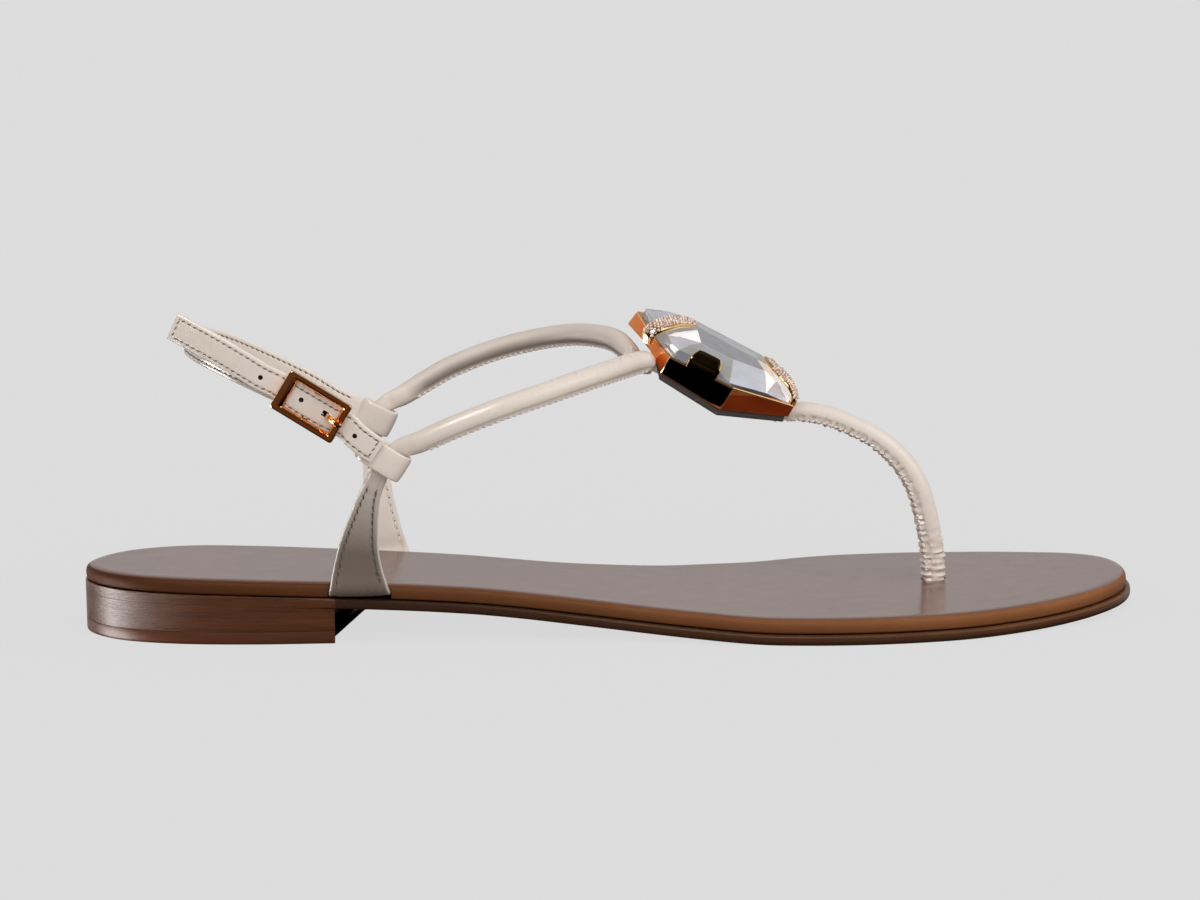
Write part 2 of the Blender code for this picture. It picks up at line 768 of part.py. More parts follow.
def side_claw(material, collection):
    """A rounded lip that stands on the rim and bends in over the crystal's shoulder."""
    start, end = (np.array(RIM[SIDE_CLAW_WALL + k][:2]) for k in (0, 1))
    edge = (end - start) / np.linalg.norm(end - start)
    inward = np.array([-edge[1], edge[0]])
    middle = start + (end - start) * SIDE_CLAW_SHARE
    rows = []
    for inset, height, length in SIDE_CLAW_BEND:
        at = middle + inward * inset
        rows.append((at[0], at[1], height, length, SETTING_WALL, FLAT_SQUARENESS))
    out = -(jewel_axes()[0] * inward[0] + jewel_axes()[1] * inward[1])
    return strap("side claw", from_jewel(rows), out, material, collection, CLAW_STEPS)


# Buckle
def build_buckle(parts, cutters, gold):
    axes = frame_axes(BUCKLE_ALONG)
    matrix = placed(BUCKLE_MIDDLE, axes)
    frame = box("buckle_frame", (BUCKLE_LENGTH, BUCKLE_WIDTH, BUCKLE_DEPTH), (0, 0, 0), matrix,
                gold, parts)
    window_length = BUCKLE_LENGTH - BUCKLE_BACK_BAR - BUCKLE_FRONT_BAR
    window_width = BUCKLE_WIDTH - 2 * BUCKLE_SIDE_BAR
    window_middle = (BUCKLE_BACK_BAR - BUCKLE_FRONT_BAR) / 2
    window = box("buckle window", (window_length, window_width, 2 * BUCKLE_DEPTH),
                 (window_middle, 0, 0), matrix, gold, cutters)
    boolean(frame, window, "DIFFERENCE")
    soften(frame, BUCKLE_SOFTENING)
    ear_length = CENTRE_BAR_DEPTH + CENTRE_BAR_RADIUS
    ear_offset = (BUCKLE_WIDTH - BUCKLE_SIDE_BAR) / 2
    for side in (1, -1):
        ear = box(f"buckle ear {side}", (EAR_LENGTH_ALONG, EAR_THICKNESS, ear_length),
                  (0, side * ear_offset, -ear_length / 2), matrix, gold, cutters)
        boolean(frame, ear, "UNION")
    bar = rod("centre bar", CENTRE_BAR_RADIUS, 2 * ear_offset, (0, 0, -CENTRE_BAR_DEPTH), matrix,
              Matrix.Rotation(math.pi / 2, 4, "X"), gold, cutters)
    boolean(frame, bar, "UNION")
    prong_rows = []
    for at_along, at_out in PRONG_PATH:
        point = buckle_point(at_along, 0.0, at_out)
        prong_rows.append((*point, 2 * PRONG_RADIUS, 2 * PRONG_RADIUS, 2.0))
    prong = strap("buckle_prong", prong_rows, axes[2], gold, parts)
    bore_radius = CENTRE_BAR_RADIUS + GAP
    sleeve = rod("prong sleeve", bore_radius + PRONG_SLEEVE_WALL, PRONG_SLEEVE_LENGTH,
                 (0, 0, -CENTRE_BAR_DEPTH), matrix, Matrix.Rotation(math.pi / 2, 4, "X"), gold, cutters)
    boolean(prong, sleeve, "UNION")
    bore = rod("prong bore", bore_radius, 2 * PRONG_SLEEVE_LENGTH,
               (0, 0, -CENTRE_BAR_DEPTH), matrix, Matrix.Rotation(math.pi / 2, 4, "X"), gold, cutters)
    boolean(prong, bore, "DIFFERENCE")
    return matrix


def buckle_point(at_along, at_up, at_out):
    along, up, out = frame_axes(BUCKLE_ALONG)
    return np.array(BUCKLE_MIDDLE) + along * at_along + up * at_up + out * at_out


# Ankle strap
def build_ankle_strap(parts, cutters, leather, buckle_matrix):
    axes = frame_axes(BUCKLE_ALONG)
    section = (STRAP_WIDTH, STRAP_THICKNESS, FLAT_SQUARENESS)
    rows = [(*row, *section) for row in FRONT_STRAP_TAIL]
    rows += [(*buckle_point(a, 0.0, -FRONT_STRAP_DEPTH), *section) for a in FRONT_STRAP_IN_BUCKLE]
    rows += [(*row, *section) for row in FRONT_STRAP_END]
    front = strap("ankle_strap_front", rows, axes[2], leather, parts)
    boolean(front, loop_band("outer loop", OUTER_LOOP, leather, cutters), "UNION")
    slot = box("prong slot", (PRONG_HOLE_LENGTH, 2 * HOLE_RADIUS, 2 * FRONT_STRAP_DEPTH),
               (PRONG_HOLE_ALONG, 0, -FRONT_STRAP_DEPTH), buckle_matrix, leather, cutters)
    boolean(front, slot, "DIFFERENCE")
    for number, middle in enumerate(STRAP_HOLES, 1):
        punch = rod(f"strap hole {number}", HOLE_RADIUS, 2 * STRAP_THICKNESS, (0, 0, 0),
                    placed(middle, axes), Matrix.Identity(4), leather, cutters, HOLE_SIDES)
        boolean(front, punch, "DIFFERENCE")

    back_rows = []
    for a in BACK_STRAP_IN_BUCKLE:
        fold = buckle_point(a, 0.0, -CENTRE_BAR_DEPTH)
        back_rows.append((*fold, BACK_STRAP_FOLD_WIDTH, BACK_STRAP_FOLD_THICKNESS, FLAT_SQUARENESS))
    for row in BACK_STRAP:
        back_rows.append((*row, BACK_STRAP_WIDTH, BACK_STRAP_THICKNESS, FLAT_SQUARENESS))
    back = strap("ankle_strap_back", back_rows, axes[2], leather, parts)
    boolean(back, loop_band("inner loop", INNER_LOOP, leather, cutters), "UNION")
    bore = rod("bar bore", CENTRE_BAR_RADIUS + GAP, 2 * BACK_STRAP_WIDTH, (0, 0, -CENTRE_BAR_DEPTH),
               buckle_matrix, Matrix.Rotation(math.pi / 2, 4, "X"), leather, cutters)
    boolean(back, bore, "DIFFERENCE")
    prong_room = box("prong room", PRONG_ROOM, (PRONG_ROOM_ALONG, 0, -CENTRE_BAR_DEPTH), buckle_matrix,
                     leather, cutters)
    boolean(back, prong_room, "DIFFERENCE")


# Upper
def build_upper(parts, cutters, leather):
    upper = strap("upper", OUTER_STRAND, (0, 0, -1), leather, parts)
    inner = strap("inner tab and arm", INNER_STRAND, (0, 0, -1), leather, cutters)
    boolean(upper, inner, "UNION")
    thong_rows = from_jewel(UNDER_JEWEL) + list(THONG_STRAND)
    thong = strap("instep strap and thong", thong_rows, jewel_axes()[2], leather, cutters)
    boolean(upper, thong, "UNION")


def tab_pocket(name, strand, material, collection):
    """Room in the insole, open below, for the foot of a tab with the gap all round."""
    rows = []
    for along, across, height, width, thickness, squareness in strand[:FOOT_ROWS]:
        room = thickness + 2 * GAP + POCKET_DROP
        rows.append((along, across, height - POCKET_DROP / 2, width + 2 * GAP, room, squareness))
    along, across, height, width, thickness, squareness = strand[FOOT_ROWS]
    rows.append((along, across, height, width + 2 * GAP, thickness + 2 * GAP, squareness))
    first, second = np.array(rows[0][:3]), np.array(rows[1][:3])
    start = first + (first - second) / np.linalg.norm(first - second) * GAP
    rows[0] = (*start, *rows[0][3:])
    return strap(name, rows, (0, 0, -1), material, collection)


# Whole sandal
def build():
    clear_scene()
    parts = make_collection("flat sandal")
    cutters = make_collection("cutters")
    sole_leather = make_material("sole leather", (0.20, 0.085, 0.035), 0.42)
    insole_leather = make_material("insole leather", (0.30, 0.20, 0.16), 0.22)
    heel_leather = make_material("heel leather", (0.10, 0.045, 0.02), 0.40)
    lift_rubber = make_material("lift rubber", (0.045, 0.025, 0.015), 0.55)
    strap_leather = make_material("strap leather", (0.78, 0.70, 0.62), 0.30)
    gold = make_material("gold", (0.83, 0.52, 0.26), 0.10, metallic=1.0)
    glass = make_material("crystal", (0.92, 0.93, 0.96), 0.02, transmission=0.9)
    pad_suede = make_material("pad suede", (0.30, 0.26, 0.24), 0.85)

    sole_layer("outsole", 0.0, OUTSOLE_EDGE, 0.0, 0.0, sole_leather, parts)
    insole = sole_layer("insole", OUTSOLE_THICKNESS + GAP, INSOLE_EDGE, INSOLE_INSET_HEEL,
                        INSOLE_INSET_FOREFOOT, insole_leather, parts)
    heel_layer("heel_block", ((0.0, LIFT_THICKNESS + GAP), (0.0, None)), heel_leather, parts)
    heel_layer("top_lift", LIFT_EDGE, lift_rubber, parts)
    for name, strand in (("outer tab pocket", OUTER_STRAND), ("inner tab pocket", INNER_STRAND)):
        boolean(insole, tab_pocket(name, strand, insole_leather, cutters), "DIFFERENCE")
    post_hole = rod("post hole", POST_HOLE_RADIUS, POST_HOLE_LENGTH, (0, 0, 0),
                    placed(POST_HOLE_MIDDLE, np.identity(3)), Matrix.Identity(4), insole_leather,
                    cutters, POST_HOLE_SIDES)
    boolean(insole, post_hole, "DIFFERENCE")

    build_upper(parts, cutters, strap_leather)
    buckle_matrix = build_buckle(parts, cutters, gold)
    build_ankle_strap(parts, cutters, strap_leather, buckle_matrix)
    build_jewel(parts, cutters, gold, glass, pad_suede)


build()
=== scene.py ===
import math

import bmesh
import bpy
import numpy as np
from mathutils import Matrix, Vector


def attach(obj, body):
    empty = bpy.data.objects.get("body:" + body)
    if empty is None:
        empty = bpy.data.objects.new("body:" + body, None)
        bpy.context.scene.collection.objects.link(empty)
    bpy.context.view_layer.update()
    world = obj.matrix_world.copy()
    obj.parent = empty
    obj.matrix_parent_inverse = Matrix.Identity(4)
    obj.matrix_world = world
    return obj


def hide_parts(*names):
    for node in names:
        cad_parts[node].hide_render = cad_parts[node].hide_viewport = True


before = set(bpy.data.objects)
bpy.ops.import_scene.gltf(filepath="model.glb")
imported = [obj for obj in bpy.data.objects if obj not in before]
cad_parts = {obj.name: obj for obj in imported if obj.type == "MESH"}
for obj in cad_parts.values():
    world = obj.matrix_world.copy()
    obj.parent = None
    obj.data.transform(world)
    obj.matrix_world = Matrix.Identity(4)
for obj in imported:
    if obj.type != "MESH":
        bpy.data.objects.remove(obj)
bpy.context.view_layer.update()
print("frame loaded,", len(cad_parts), "nodes")

# Lengths below are millimetres: along from the back of the heel, across to the inner side, up from the floor
millimetre = 0.001
sandalMiddle = np.array((125.0, 0.2, 0.0))  # the frame's origin in those lengths
pieceGap = 0.3


# Shape helpers

def toFrame(points):
    return (np.asarray(points, float) - sandalMiddle) * millimetre


def unit(vectors):
    return vectors / np.linalg.norm(vectors, axis=-1, keepdims=True)


def newPiece(name, points, faces, finishes, finishOfFace=None, crease=40.0):
    mesh = bpy.data.meshes.new(name)
    mesh.from_pydata(toFrame(points).tolist(), [], [list(face) for face in faces])
    for finish in finishes:
        mesh.materials.append(finish)
    if finishOfFace is not None:
        mesh.polygons.foreach_set("material_index", np.asarray(finishOfFace, dtype=np.int32))
    work = bmesh.new()
    work.from_mesh(mesh)
    bmesh.ops.recalc_face_normals(work, faces=work.faces)
    work.to_mesh(mesh)
    work.free()
    mesh.shade_smooth()
    mesh.set_sharp_from_angle(angle=math.radians(crease))
    piece = bpy.data.objects.new(name, mesh)
    bpy.context.scene.collection.objects.link(piece)
    return piece


def applyShape(piece, crease=40.0):
    evaluated = piece.evaluated_get(bpy.context.evaluated_depsgraph_get())
    mesh = bpy.data.meshes.new_from_object(evaluated)
    piece.modifiers.clear()
    piece.data = mesh
    mesh.shade_smooth()
    mesh.set_sharp_from_angle(angle=math.radians(crease))


def cut(piece, *tools):
    for tool in tools:
        modifier = piece.modifiers.new("cut " + tool.name, "BOOLEAN")
        modifier.operation = "DIFFERENCE"
        modifier.solver = "EXACT"
        modifier.material_mode = "TRANSFER"
        modifier.object = tool
    applyShape(piece)
    for tool in tools:
        bpy.data.objects.remove(tool, do_unlink=True)


def stand(piece, slot, *nodes):
    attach(piece, "root")
    if nodes:
        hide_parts(*nodes)


# The faces that "chosen" picks get another finish
def refinish(piece, finish, chosen):
    piece.data.materials.append(finish)
    for polygon in piece.data.polygons:
        if chosen(polygon):
            polygon.material_index = 1


def smoothPath(rows, steps, closed=False):
    rows = np.array(rows, float)
    count = len(rows)
    result = []
    for i in range(count if closed else count - 1):
        at = [(i + k) % count if closed else min(max(i + k, 0), count - 1) for k in (-1, 0, 1, 2)]
        before, start, end, after = rows[at]
        knots = [0.0]
        for a, b in ((before, start), (start, end), (end, after)):
            knots.append(knots[-1] + max(np.linalg.norm((b - a)[:3]), 1e-6) ** 0.5)
        leadIn = slopeAt(before, start, end, *knots[:3])
        leadOut = slopeAt(start, end, after, *knots[1:])
        length = knots[2] - knots[1]
        for step in range(steps):
            result.append(hermite(step / steps, start, end, length * leadIn, length * leadOut))
    if not closed:
        result.append(rows[-1])
    return np.array(result)


# From start to end as t goes from 0 to 1, with the slope at each
def hermite(t, start, end, startSlope, endSlope):
    return ((2 * t**3 - 3 * t**2 + 1) * start + (t**3 - 2 * t**2 + t) * startSlope
            + (3 * t**2 - 2 * t**3) * end + (t**3 - t**2) * endSlope)


def slopeAt(before, here, after, knotBefore, knotHere, knotAfter):
    stepIn, stepOut = knotHere - knotBefore, knotAfter - knotHere
    if np.allclose(before, here):
        return (after - here) / stepOut
    if np.allclose(here, after):
        return (here - before) / stepIn
    return ((here - before) / stepIn * stepOut + (after - here) / stepOut * stepIn) / (stepIn + stepOut)


# A route is a path with its own axes: along it, across the strap and out of its face
def makeRoute(rows, firstOut, steps):
    path = smoothPath(rows, steps)
    middles = path[:, :3]
    tangents = unit(np.gradient(middles, axis=0))
    outs = np.empty_like(middles)
    out = np.array(firstOut, float)
    for i, tangent in enumerate(tangents):
        out = out - tangent * out.dot(tangent)
        out /= np.linalg.norm(out)
        outs[i] = out
    lengths = np.concatenate(([0.0], np.cumsum(np.linalg.norm(np.diff(middles, axis=0), axis=1))))
    return {"middles": middles, "tangents": tangents, "outs": outs, "acrosses": np.cross(outs, tangents),
            "sizes": path[:, 3:], "lengths": lengths}


def sectionOutline(width, thickness, squareness, count):
    turn = np.linspace(0.0, 2 * math.pi, 481)
    c, s = np.cos(turn), np.sin(turn)
    a = np.sign(c) * np.abs(c) ** (2 / squareness) * width / 2
    b = np.sign(s) * np.abs(s) ** (2 / squareness) * thickness / 2
    run = np.concatenate(([0.0], np.cumsum(np.hypot(np.diff(a), np.diff(b)))))
    at = np.linspace(0.0, run[-1], count, endpoint=False)
    return np.stack((np.interp(at, run, a), np.interp(at, run, b)), axis=1)


def outlineNormals(outline):
    step = np.roll(outline, -1, axis=0) - np.roll(outline, 1, axis=0)
    return unit(np.stack((step[:, 1], -step[:, 0]), axis=1))


def ringFaces(rings, count, closed=False):
    faces = []
    for ring in range(rings if closed else rings - 1):
        low, high = ring * count, (ring + 1) % rings * count
        for i in range(count):
            j = (i + 1) % count
            faces.append((low + i, high + i, high + j, low + j))
    return faces


def endCap(first, middle, count, flip):
    faces = []
    for i in range(count):
        j = (i + 1) % count
        face = (first + i, first + j, middle)
        faces.append(face[::-1] if flip else face)
    return faces


# A strap's skin: relief(route, station, outline) gives how far each point stands out of the section
def skin(name, route, count, finishes, relief=None, masks=(), crease=50.0):
    points, maskRows = [], {mask: [] for mask in masks}
    for i, (middle, size) in enumerate(zip(route["middles"], route["sizes"])):
        outline = sectionOutline(*size, count)
        if relief:
            height, values = relief(route, i, outline)
            outline = outline + outlineNormals(outline) * height[:, None]
            for mask in masks:
                maskRows[mask].append(values[mask])
        points.append(middle + outline @ np.array((route["acrosses"][i], route["outs"][i])))
    rings = len(points)
    faces = ringFaces(rings, count)
    allPoints = np.concatenate(points)
    ends = [allPoints[:count].mean(axis=0), allPoints[-count:].mean(axis=0)]
    faces += endCap(0, rings * count, count, False)
    faces += endCap((rings - 1) * count, rings * count + 1, count, True)
    piece = newPiece(name, np.concatenate((allPoints, ends)), faces, finishes, crease=crease)
    for mask in masks:
        layer = piece.data.attributes.new(mask, "FLOAT", "POINT")
        values = np.concatenate(maskRows[mask] + [np.zeros(2)])
        layer.data.foreach_set("value", values.astype(np.float32))
    return piece


# Material helpers

def newFinish(name, colour, roughness, **settings):
    finish = bpy.data.materials.new(name)
    finish.use_nodes = True
    tree = finish.node_tree
    shader = tree.nodes["Principled BSDF"]
    shader.inputs["Base Color"].default_value = (*colour, 1.0)
    shader.inputs["Roughness"].default_value = roughness
    for socket, value in settings.items():
        shader.inputs[socket.replace("_", " ")].default_value = value
    return finish, tree, shader


def addNode(tree, kind, inputs=None, **settings):
    node = tree.nodes.new("ShaderNode" + kind)
    for key, value in settings.items():
        setattr(node, key, value)
    for socket, value in (inputs or {}).items():
        if isinstance(value, bpy.types.NodeSocket):
            tree.links.new(value, node.inputs[socket])
        else:
            node.inputs[socket].default_value = value
    return node


def place(tree, stretch=(1.0, 1.0, 1.0)):
    where = addNode(tree, "TexCoord").outputs["Object"]
    scale = tuple(s / millimetre for s in stretch)
    return addNode(tree, "Mapping", {"Vector": where, "Scale": scale}).outputs["Vector"]


def noise(tree, where, size, detail=3.0, rough=0.5, distortion=0.0):
    inputs = {"Vector": where, "Scale": 1.0 / size, "Detail": detail, "Roughness": rough,
              "Distortion": distortion}
    return addNode(tree, "TexNoise", inputs).outputs["Fac"]


def mapped(tree, value, limits, **settings):
    inputs = {"Value": value}
    inputs.update(zip(("From Min", "From Max", "To Min", "To Max"), limits))
    return addNode(tree, "MapRange", inputs, **settings).outputs["Result"]


def span(tree, value, low, high, newLow=0.0, newHigh=1.0):
    return mapped(tree, value, (low, high, newLow, newHigh), clamp=True)


def fade(tree, value, low, high, newLow=0.0, newHigh=1.0):
    return mapped(tree, value, (low, high, newLow, newHigh), interpolation_type="SMOOTHSTEP")


def times(a, b):
    return reckon("MULTIPLY", a, b)


def plus(a, b):
    return reckon("ADD", a, b)


def reckon(kind, a, b):
    tree = (a if isinstance(a, bpy.types.NodeSocket) else b).id_data
    return addNode(tree, "Math", {0: a, 1: b}, operation=kind).outputs["Value"]


def blendColour(tree, share, a, b):
    node = addNode(tree, "Mix", data_type="RGBA")
    for socket, value in (("Factor", share), ("A", a), ("B", b)):
        target = [s for s in node.inputs if s.name == socket and s.enabled][0]
        if isinstance(value, bpy.types.NodeSocket):
            tree.links.new(value, target)
        else:
            target.default_value = value if socket == "Factor" else (*value, 1.0)
    return [s for s in node.outputs if s.enabled][0]


def bump(tree, height, depth, below=None):
    inputs = {"Height": height, "Strength": 1.0, "Distance": depth * millimetre}
    if below is not None:
        inputs["Normal"] = below
    return addNode(tree, "Bump", inputs).outputs["Normal"]


def maskValue(tree, name):
    return addNode(tree, "Attribute", attribute_name=name).outputs["Fac"]


# Smooth cream leather of the straps, with fine grain and pores. Its masks hold the paler turned edges, partly
# a lighter tone of their own and partly a painted highlight, the darker sewn channels, and painted shade low
# on the tab, under the far arm and in the thong's folds
strapLeather = {
    "colour": (0.800, 0.705, 0.625),
    "warm": (0.760, 0.615, 0.520),
    "channel": (0.420, 0.330, 0.260),
    "paintedShade": (0.158, 0.122, 0.096),
    "edge": (0.860, 0.780, 0.700),
    "roughness": (0.24, 0.36),
    "softRoughness": (0.50, 0.62),  # the far arm, which the photo shows matt
    "grain": 0.42,
    "grainDepth": 0.004,
    "poreDepth": 0.0025,
}


def makeStrapLeather(name, values, coat, roughness):
    finish, tree, shader = newFinish(name, values["colour"], 0.3, Coat_Weight=coat, Coat_Roughness=0.2)
    where = place(tree)
    mottle = span(tree, noise(tree, where, 9.0, 3.0), 0.35, 0.7)
    colour = blendColour(tree, times(mottle, 0.45), values["colour"], values["warm"])
    # paler edges: partly a lighter tone of their own, partly a painted highlight on the rounded edge
    colour = blendColour(tree, maskValue(tree, "edge"), colour, values["edge"])
    colour = blendColour(tree, maskValue(tree, "channel"), colour, values["channel"])
    # painted shade: darker low on the tab, under the far arm and in the hollows of the thong's folds
    colour = blendColour(tree, maskValue(tree, "paintedShade"), colour, values["paintedShade"])
    tree.links.new(colour, shader.inputs["Base Color"])
    grain = noise(tree, where, values["grain"], 4.0, 0.6)
    pores = addNode(tree, "TexVoronoi", {"Vector": where, "Scale": 1.0 / 0.33}).outputs["Distance"]
    rough = span(tree, noise(tree, where, 3.0, 4.0), 0.3, 0.75, *roughness)
    tree.links.new(rough, shader.inputs["Roughness"])
    soft = bump(tree, pores, values["poreDepth"])
    tree.links.new(bump(tree, grain, values["grainDepth"], soft), shader.inputs["Normal"])
    return finish


# Waxed brown leather: the wrapped insole and the outsole's edge
insoleLeather = {
    "roll": (0.285, 0.108, 0.038),
    "rollDark": (0.066, 0.019, 0.005),
    "rollRoughness": 0.50,
    "darkToPale": (10.0, 235.0),  # along: the rolled edge is darkest at the heel
    "top": (0.182, 0.086, 0.064),
    "topDark": (0.150, 0.069, 0.050),
    "topRoughness": 0.17,
    "grainDepth": 0.012,
}
outsoleLeather = {
    "colour": (0.170, 0.066, 0.026),
    "dark": (0.040, 0.015, 0.006),
    "heelEnds": (80.0, 240.0),  # along: where the dark heel finish fades into the brown edge
    "roughness": (0.30, 0.48),
    "grainDepth": 0.02,
}


def makeInsoleLeather(name, values, specular):
    finish, tree, shader = newFinish(name, values["roll"], 0.2, Specular_IOR_Level=specular)
    where = place(tree)
    facing = addNode(tree, "TexCoord").outputs["Normal"]
    level = addNode(tree, "SeparateXYZ", {"Vector": facing}).outputs["Z"]
    top = span(tree, level, 0.80, 0.97)  # 1 on the level top, 0 on the rolled edge
    cloudy = span(tree, noise(tree, where, 26.0, 4.0, 0.55), 0.3, 0.72)
    alongSole = addNode(tree, "SeparateXYZ", {"Vector": where}).outputs["X"]
    forward = span(tree, alongSole, *(v - sandalMiddle[0] for v in values["darkToPale"]))
    # painted shade: the rolled edge is darker where it faces down
    forward = times(forward, span(tree, level, -0.5, 0.5, 0.45, 1.0))
    forward = times(forward, plus(times(cloudy, 0.3), 0.75))
    roll = blendColour(tree, forward, values["rollDark"], values["roll"])
    lining = blendColour(tree, cloudy, values["topDark"], values["top"])
    tree.links.new(blendColour(tree, top, roll, lining), shader.inputs["Base Color"])
    worn = span(tree, noise(tree, where, 5.0, 5.0), 0.3, 0.7, -0.03, 0.04)
    rough = span(tree, top, 0.0, 1.0, values["rollRoughness"], values["topRoughness"])
    tree.links.new(plus(rough, worn), shader.inputs["Roughness"])
    grain = times(noise(tree, where, 0.45, 4.0, 0.65), span(tree, top, 0.0, 1.0, 1.0, 0.3))
    tree.links.new(bump(tree, grain, values["grainDepth"]), shader.inputs["Normal"])
    return finish


def makeOutsoleLeather(values):
    finish, tree, shader = newFinish("outsole leather", values["colour"], 0.4, Specular_IOR_Level=0.18)
    where = place(tree)
    middle = sandalMiddle[0]
    start, end = (v - middle for v in values["heelEnds"])
    alongSole = addNode(tree, "SeparateXYZ", {"Vector": where}).outputs["X"]
    forward = span(tree, alongSole, start, end)
    cloudy = span(tree, noise(tree, where, 8.0, 4.0), 0.3, 0.75, 0.7, 1.0)
    facing = addNode(tree, "TexCoord").outputs["Normal"]
    level = addNode(tree, "SeparateXYZ", {"Vector": facing}).outputs["Z"]
    cloudy = times(cloudy, span(tree, level, -0.15, 0.5))  # painted shade: darker where the edge faces down
    colour = blendColour(tree, times(forward, cloudy), values["dark"], values["colour"])
    tree.links.new(colour, shader.inputs["Base Color"])
    rough = span(tree, noise(tree, where, 1.2, 4.0), 0.3, 0.7, *values["roughness"])
    tree.links.new(rough, shader.inputs["Roughness"])
    fibres = noise(tree, place(tree, (0.4, 0.4, 3.0)), 0.6, 5.0, 0.65)
    tree.links.new(bump(tree, fibres, values["grainDepth"]), shader.inputs["Normal"])
    return finish


# Heel of stacked leather: fine level lines, dark stain, satin wax
heelLeather = {
    "colour": (0.105, 0.031, 0.008),
    "dark": (0.062, 0.017, 0.005),
    "pale": (0.150, 0.050, 0.014),
    "roughness": (0.26, 0.36),
    "lineDepth": 0.14,
}


def makeHeelLeather(values):
    finish, tree, shader = newFinish("heel leather", values["colour"], 0.4, Specular_IOR_Level=0.45)
    level = place(tree, (0.035, 0.035, 1.0))
    lines = noise(tree, level, 0.33, 6.0, 0.7)
    bands = noise(tree, level, 1.7, 3.0, 0.5)
    stain = span(tree, plus(lines, bands), 0.75, 1.3)
    colour = blendColour(tree, stain, values["dark"], values["colour"])
    flecks = span(tree, noise(tree, place(tree, (0.12, 0.12, 1.6)), 0.4, 3.0), 0.62, 0.8, 0.0, 0.5)
    colour = blendColour(tree, flecks, colour, values["pale"])
    tree.links.new(colour, shader.inputs["Base Color"])
    tree.links.new(span(tree, lines, 0.3, 0.7, *values["roughness"]), shader.inputs["Roughness"])
    tree.links.new(bump(tree, lines, values["lineDepth"]), shader.inputs["Normal"])
    return finish


liftRubber = {
    "colour": (0.105, 0.031, 0.009),
    "dark": (0.070, 0.020, 0.006),
    "roughness": 0.36,
    "grainDepth": 0.03,
}


def makeLiftRubber(values):
    finish, tree, shader = newFinish("top lift", values["colour"], values["roughness"],
                                     Specular_IOR_Level=0.38)
    worn = span(tree, noise(tree, place(tree, (0.12, 0.12, 1.0)), 3.0, 4.0), 0.35, 0.7)
    tree.links.new(blendColour(tree, worn, values["dark"], values["colour"]), shader.inputs["Base Color"])
    fine = noise(tree, place(tree, (0.1, 0.1, 1.0)), 0.3, 5.0, 0.7)
    tree.links.new(bump(tree, fine, values["grainDepth"]), shader.inputs["Normal"])
    return finish


# Polished rose gold in lit and shaded copies: deep is a painted dark reflection on broad faces, pale a
# painted highlight on edges
goldPlate = {
    "deep": ((0.90, 0.27, 0.075), (0.78, 0.20, 0.05)),
    "warm": ((0.97, 0.46, 0.17), (0.92, 0.38, 0.12)),
    "pale": ((1.00, 0.70, 0.36), (0.97, 0.60, 0.26)),
    "shaded": ((0.13, 0.075, 0.025), (0.06, 0.035, 0.012)),
    "roughness": (0.03, 0.08),
}


def makeGold(tone, values):
    colour, dark = values[tone]
    finish, tree, shader = newFinish(tone + " gold", colour, 0.05, Metallic=1.0)
    where = place(tree)
    cloudy = span(tree, noise(tree, where, 6.0, 3.0), 0.35, 0.7)
    tree.links.new(blendColour(tree, cloudy, dark, colour), shader.inputs["Base Color"])
    wiped = noise(tree, place(tree, (0.3, 1.0, 1.0)), 1.2, 4.0)
    tree.links.new(span(tree, wiped, 0.35, 0.7, *values["roughness"]), shader.inputs["Roughness"])
    tree.links.new(bump(tree, noise(tree, where, 2.5, 2.0), 0.004), shader.inputs["Normal"])
    return finish


def makeSuede():
    finish, tree, shader = newFinish("pad suede", (0.09, 0.08, 0.075), 0.9, Sheen_Weight=0.15,
                                     Sheen_Roughness=0.4)
    nap = noise(tree, place(tree), 0.35, 6.0, 0.75, 0.6)
    colour = blendColour(tree, nap, (0.018, 0.014, 0.013), (0.112, 0.096, 0.086))
    tree.links.new(colour, shader.inputs["Base Color"])
    tree.links.new(bump(tree, nap, 0.12), shader.inputs["Normal"])
    return finish


def makeThread(name, colour, dark):
    finish, tree, shader = newFinish(name, colour, 0.6, Sheen_Weight=0.2)
    twist = span(tree, noise(tree, place(tree), 0.22, 2.0), 0.35, 0.65)
    tree.links.new(blendColour(tree, twist, dark, colour), shader.inputs["Base Color"])
    tree.links.new(bump(tree, twist, 0.02), shader.inputs["Normal"])
    return finish


def makePlain(name, colour, roughness, grain=1.1, dull=None, **settings):
    finish, tree, shader = newFinish(name, colour, roughness, **settings)
    dull = dull or tuple(c * 0.8 for c in colour)
    cloudy = span(tree, noise(tree, place(tree), grain, 3.0), 0.38, 0.58)
    tree.links.new(blendColour(tree, cloudy, dull, colour), shader.inputs["Base Color"])
    return finish


creamLeather = makeStrapLeather("cream leather", strapLeather, 0.45, strapLeather["roughness"])
softLeather = makeStrapLeather("soft cream leather", strapLeather, 0.06, strapLeather["softRoughness"])
insoleFinish = makeInsoleLeather("insole leather", insoleLeather, 0.5)
rollFinish = makeInsoleLeather("insole edge leather", insoleLeather, 0.10)
outsoleFinish = makeOutsoleLeather(outsoleLeather)
heelFinish = makeHeelLeather(heelLeather)
liftFinish = makeLiftRubber(liftRubber)
goldTones = ("deep", "warm", "pale", "shaded")  # shaded: a painted reflection of the dark room, for faces turned to it
deepGold, warmGold, paleGold, shadedGold = (makeGold(tone, goldPlate) for tone in goldTones)
suede = makeSuede()
seamThread = makeThread("grey brown thread", (0.24, 0.19, 0.15), (0.11, 0.085, 0.065))
darkThread = makeThread("dark brown thread", (0.075, 0.058, 0.045), (0.035, 0.027, 0.02))
weltThread = makeThread("cream thread", (0.95, 0.86, 0.79), (0.80, 0.68, 0.60))
# dark finish of the needle holes and of the walls of cut holes: painted shade
paintedHoleShade = makePlain("painted hole shade", (0.055, 0.038, 0.028), 0.8)
print("finishes made")


# Sole: the layers' plan outline, arch and edges

